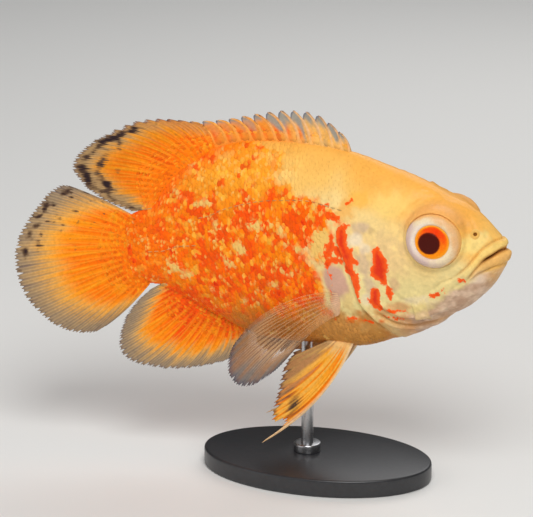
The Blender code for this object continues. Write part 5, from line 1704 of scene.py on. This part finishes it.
base = added(bpy.ops.mesh.primitive_cylinder_add, vertices=128, radius=0.5, depth=BASE[2],
             location=(0, 0, BASE[2] / 2), scale=(BASE[0], BASE[1], 1))
bpy.ops.object.transform_apply(location=True, scale=True)
bevelled(base, RIM_RADIUS)
finish_piece(base, "stand_plate", lacquer(), "black_lacquer", "stand_base")

seat = posed([ROD_BACK, 0, float(bottom(ROD_BACK))])
rod_top, rod_foot = seat[2] + ROD_INTO_FISH, BASE[2] - ROD_INTO_BASE
steel = ground_steel()
rod = added(bpy.ops.mesh.primitive_cylinder_add, vertices=48, radius=ROD_RADIUS,
            depth=rod_top - rod_foot, location=(seat[0], seat[1], (rod_top + rod_foot) / 2))
bpy.ops.object.transform_apply(location=True)
finish_piece(rod, "steel_rod", steel, "brushed_steel", "stand_rod")
collar = added(bpy.ops.mesh.primitive_cylinder_add, vertices=64, radius=COLLAR[0], depth=COLLAR[1],
               location=(seat[0], seat[1], BASE[2] + COLLAR[1] / 2))
bpy.ops.object.transform_apply(location=True)
bevelled(collar, COLLAR_EDGE)
finish_piece(collar, "steel_collar", steel, "brushed_steel", "stand_rod")
for piece in (base, rod, collar):
    select_only(piece)
    bpy.ops.object.shade_smooth_by_angle(angle=math.radians(35))

# %% [markdown]
# ## Room, light and camera
#
# The floor is pale and plain. A broad lamp above and ahead stands for the soft tank light, weaker
# ones open the shadows, and the camera looks from the angle of the photo. The Standard view keeps
# the oranges as strong as in life, where Blender's default would soften them. The white room is
# hidden from glossy rays, so that the wet skin mirrors the lamps and isn't veiled all over.

# %% Floor and lights
floor = added(bpy.ops.mesh.primitive_plane_add, size=6)
floor.name = "floor"
# Matt backdrop paper, pale and without any shine, so that nothing on it draws the eye
paper, _, _ = new_material("pale_paper", Base_Color=opaque("E4E2DE"), Roughness=0.9)
floor.data.materials.append(paper)


def lamp(name, power, size, place, target):
    """A round soft lamp, with its power in watts and the rest in metres."""
    data = bpy.data.lights.new(name, "AREA")
    data.shape, data.size, data.energy = "DISK", size, power
    obj = bpy.data.objects.new(name, data)
    bpy.context.scene.collection.objects.link(obj)
    obj.location = place
    obj.rotation_euler = (Vector(target) - Vector(place)).to_track_quat("-Z", "Y").to_euler()


lamp("key", 5.6, 0.5, (0.25, -0.55, 0.75), (0, 0, 0.08))
lamp("fill", 1.4, 0.8, (-0.6, -0.6, 0.35), (0, 0, 0.07))
lamp("back", 2.0, 0.6, (0.0, 0.6, 0.6), (0, 0, 0.08))

ROOM_LIGHT = {"Color": opaque("EDF0F4"), "Strength": 0.37}
world = bpy.data.worlds.new("soft_room")
world.use_nodes = True
for socket, value in ROOM_LIGHT.items():
    world.node_tree.nodes["Background"].inputs[socket].default_value = value
world.cycles_visibility.glossy = False
bpy.context.scene.world = world
bpy.context.scene.view_settings.view_transform = "Standard"
print("lamps:", [light.name for light in bpy.data.lights])

# %% The camera
AZIMUTH, ELEVATION, DISTANCE = math.radians(20.5), math.radians(16.5), 1.0
LENS_MM, SENSOR_MM = 207.8, 36
LOOK_AT = Vector((-0.01537, -0.00688, 0.07343))
backwards = Vector((math.sin(AZIMUTH) * math.cos(ELEVATION), -math.cos(AZIMUTH) * math.cos(ELEVATION),
                    math.sin(ELEVATION)))
camera_data = bpy.data.cameras.new("camera")
camera_data.sensor_width = SENSOR_MM
camera_data.lens = LENS_MM
camera = bpy.data.objects.new("camera", camera_data)
bpy.context.scene.collection.objects.link(camera)
camera.location = LOOK_AT + DISTANCE * backwards
camera.rotation_euler = backwards.to_track_quat("Z", "Y").to_euler()
bpy.context.scene.camera = camera
print("camera at", [round(part, 3) for part in camera.location])
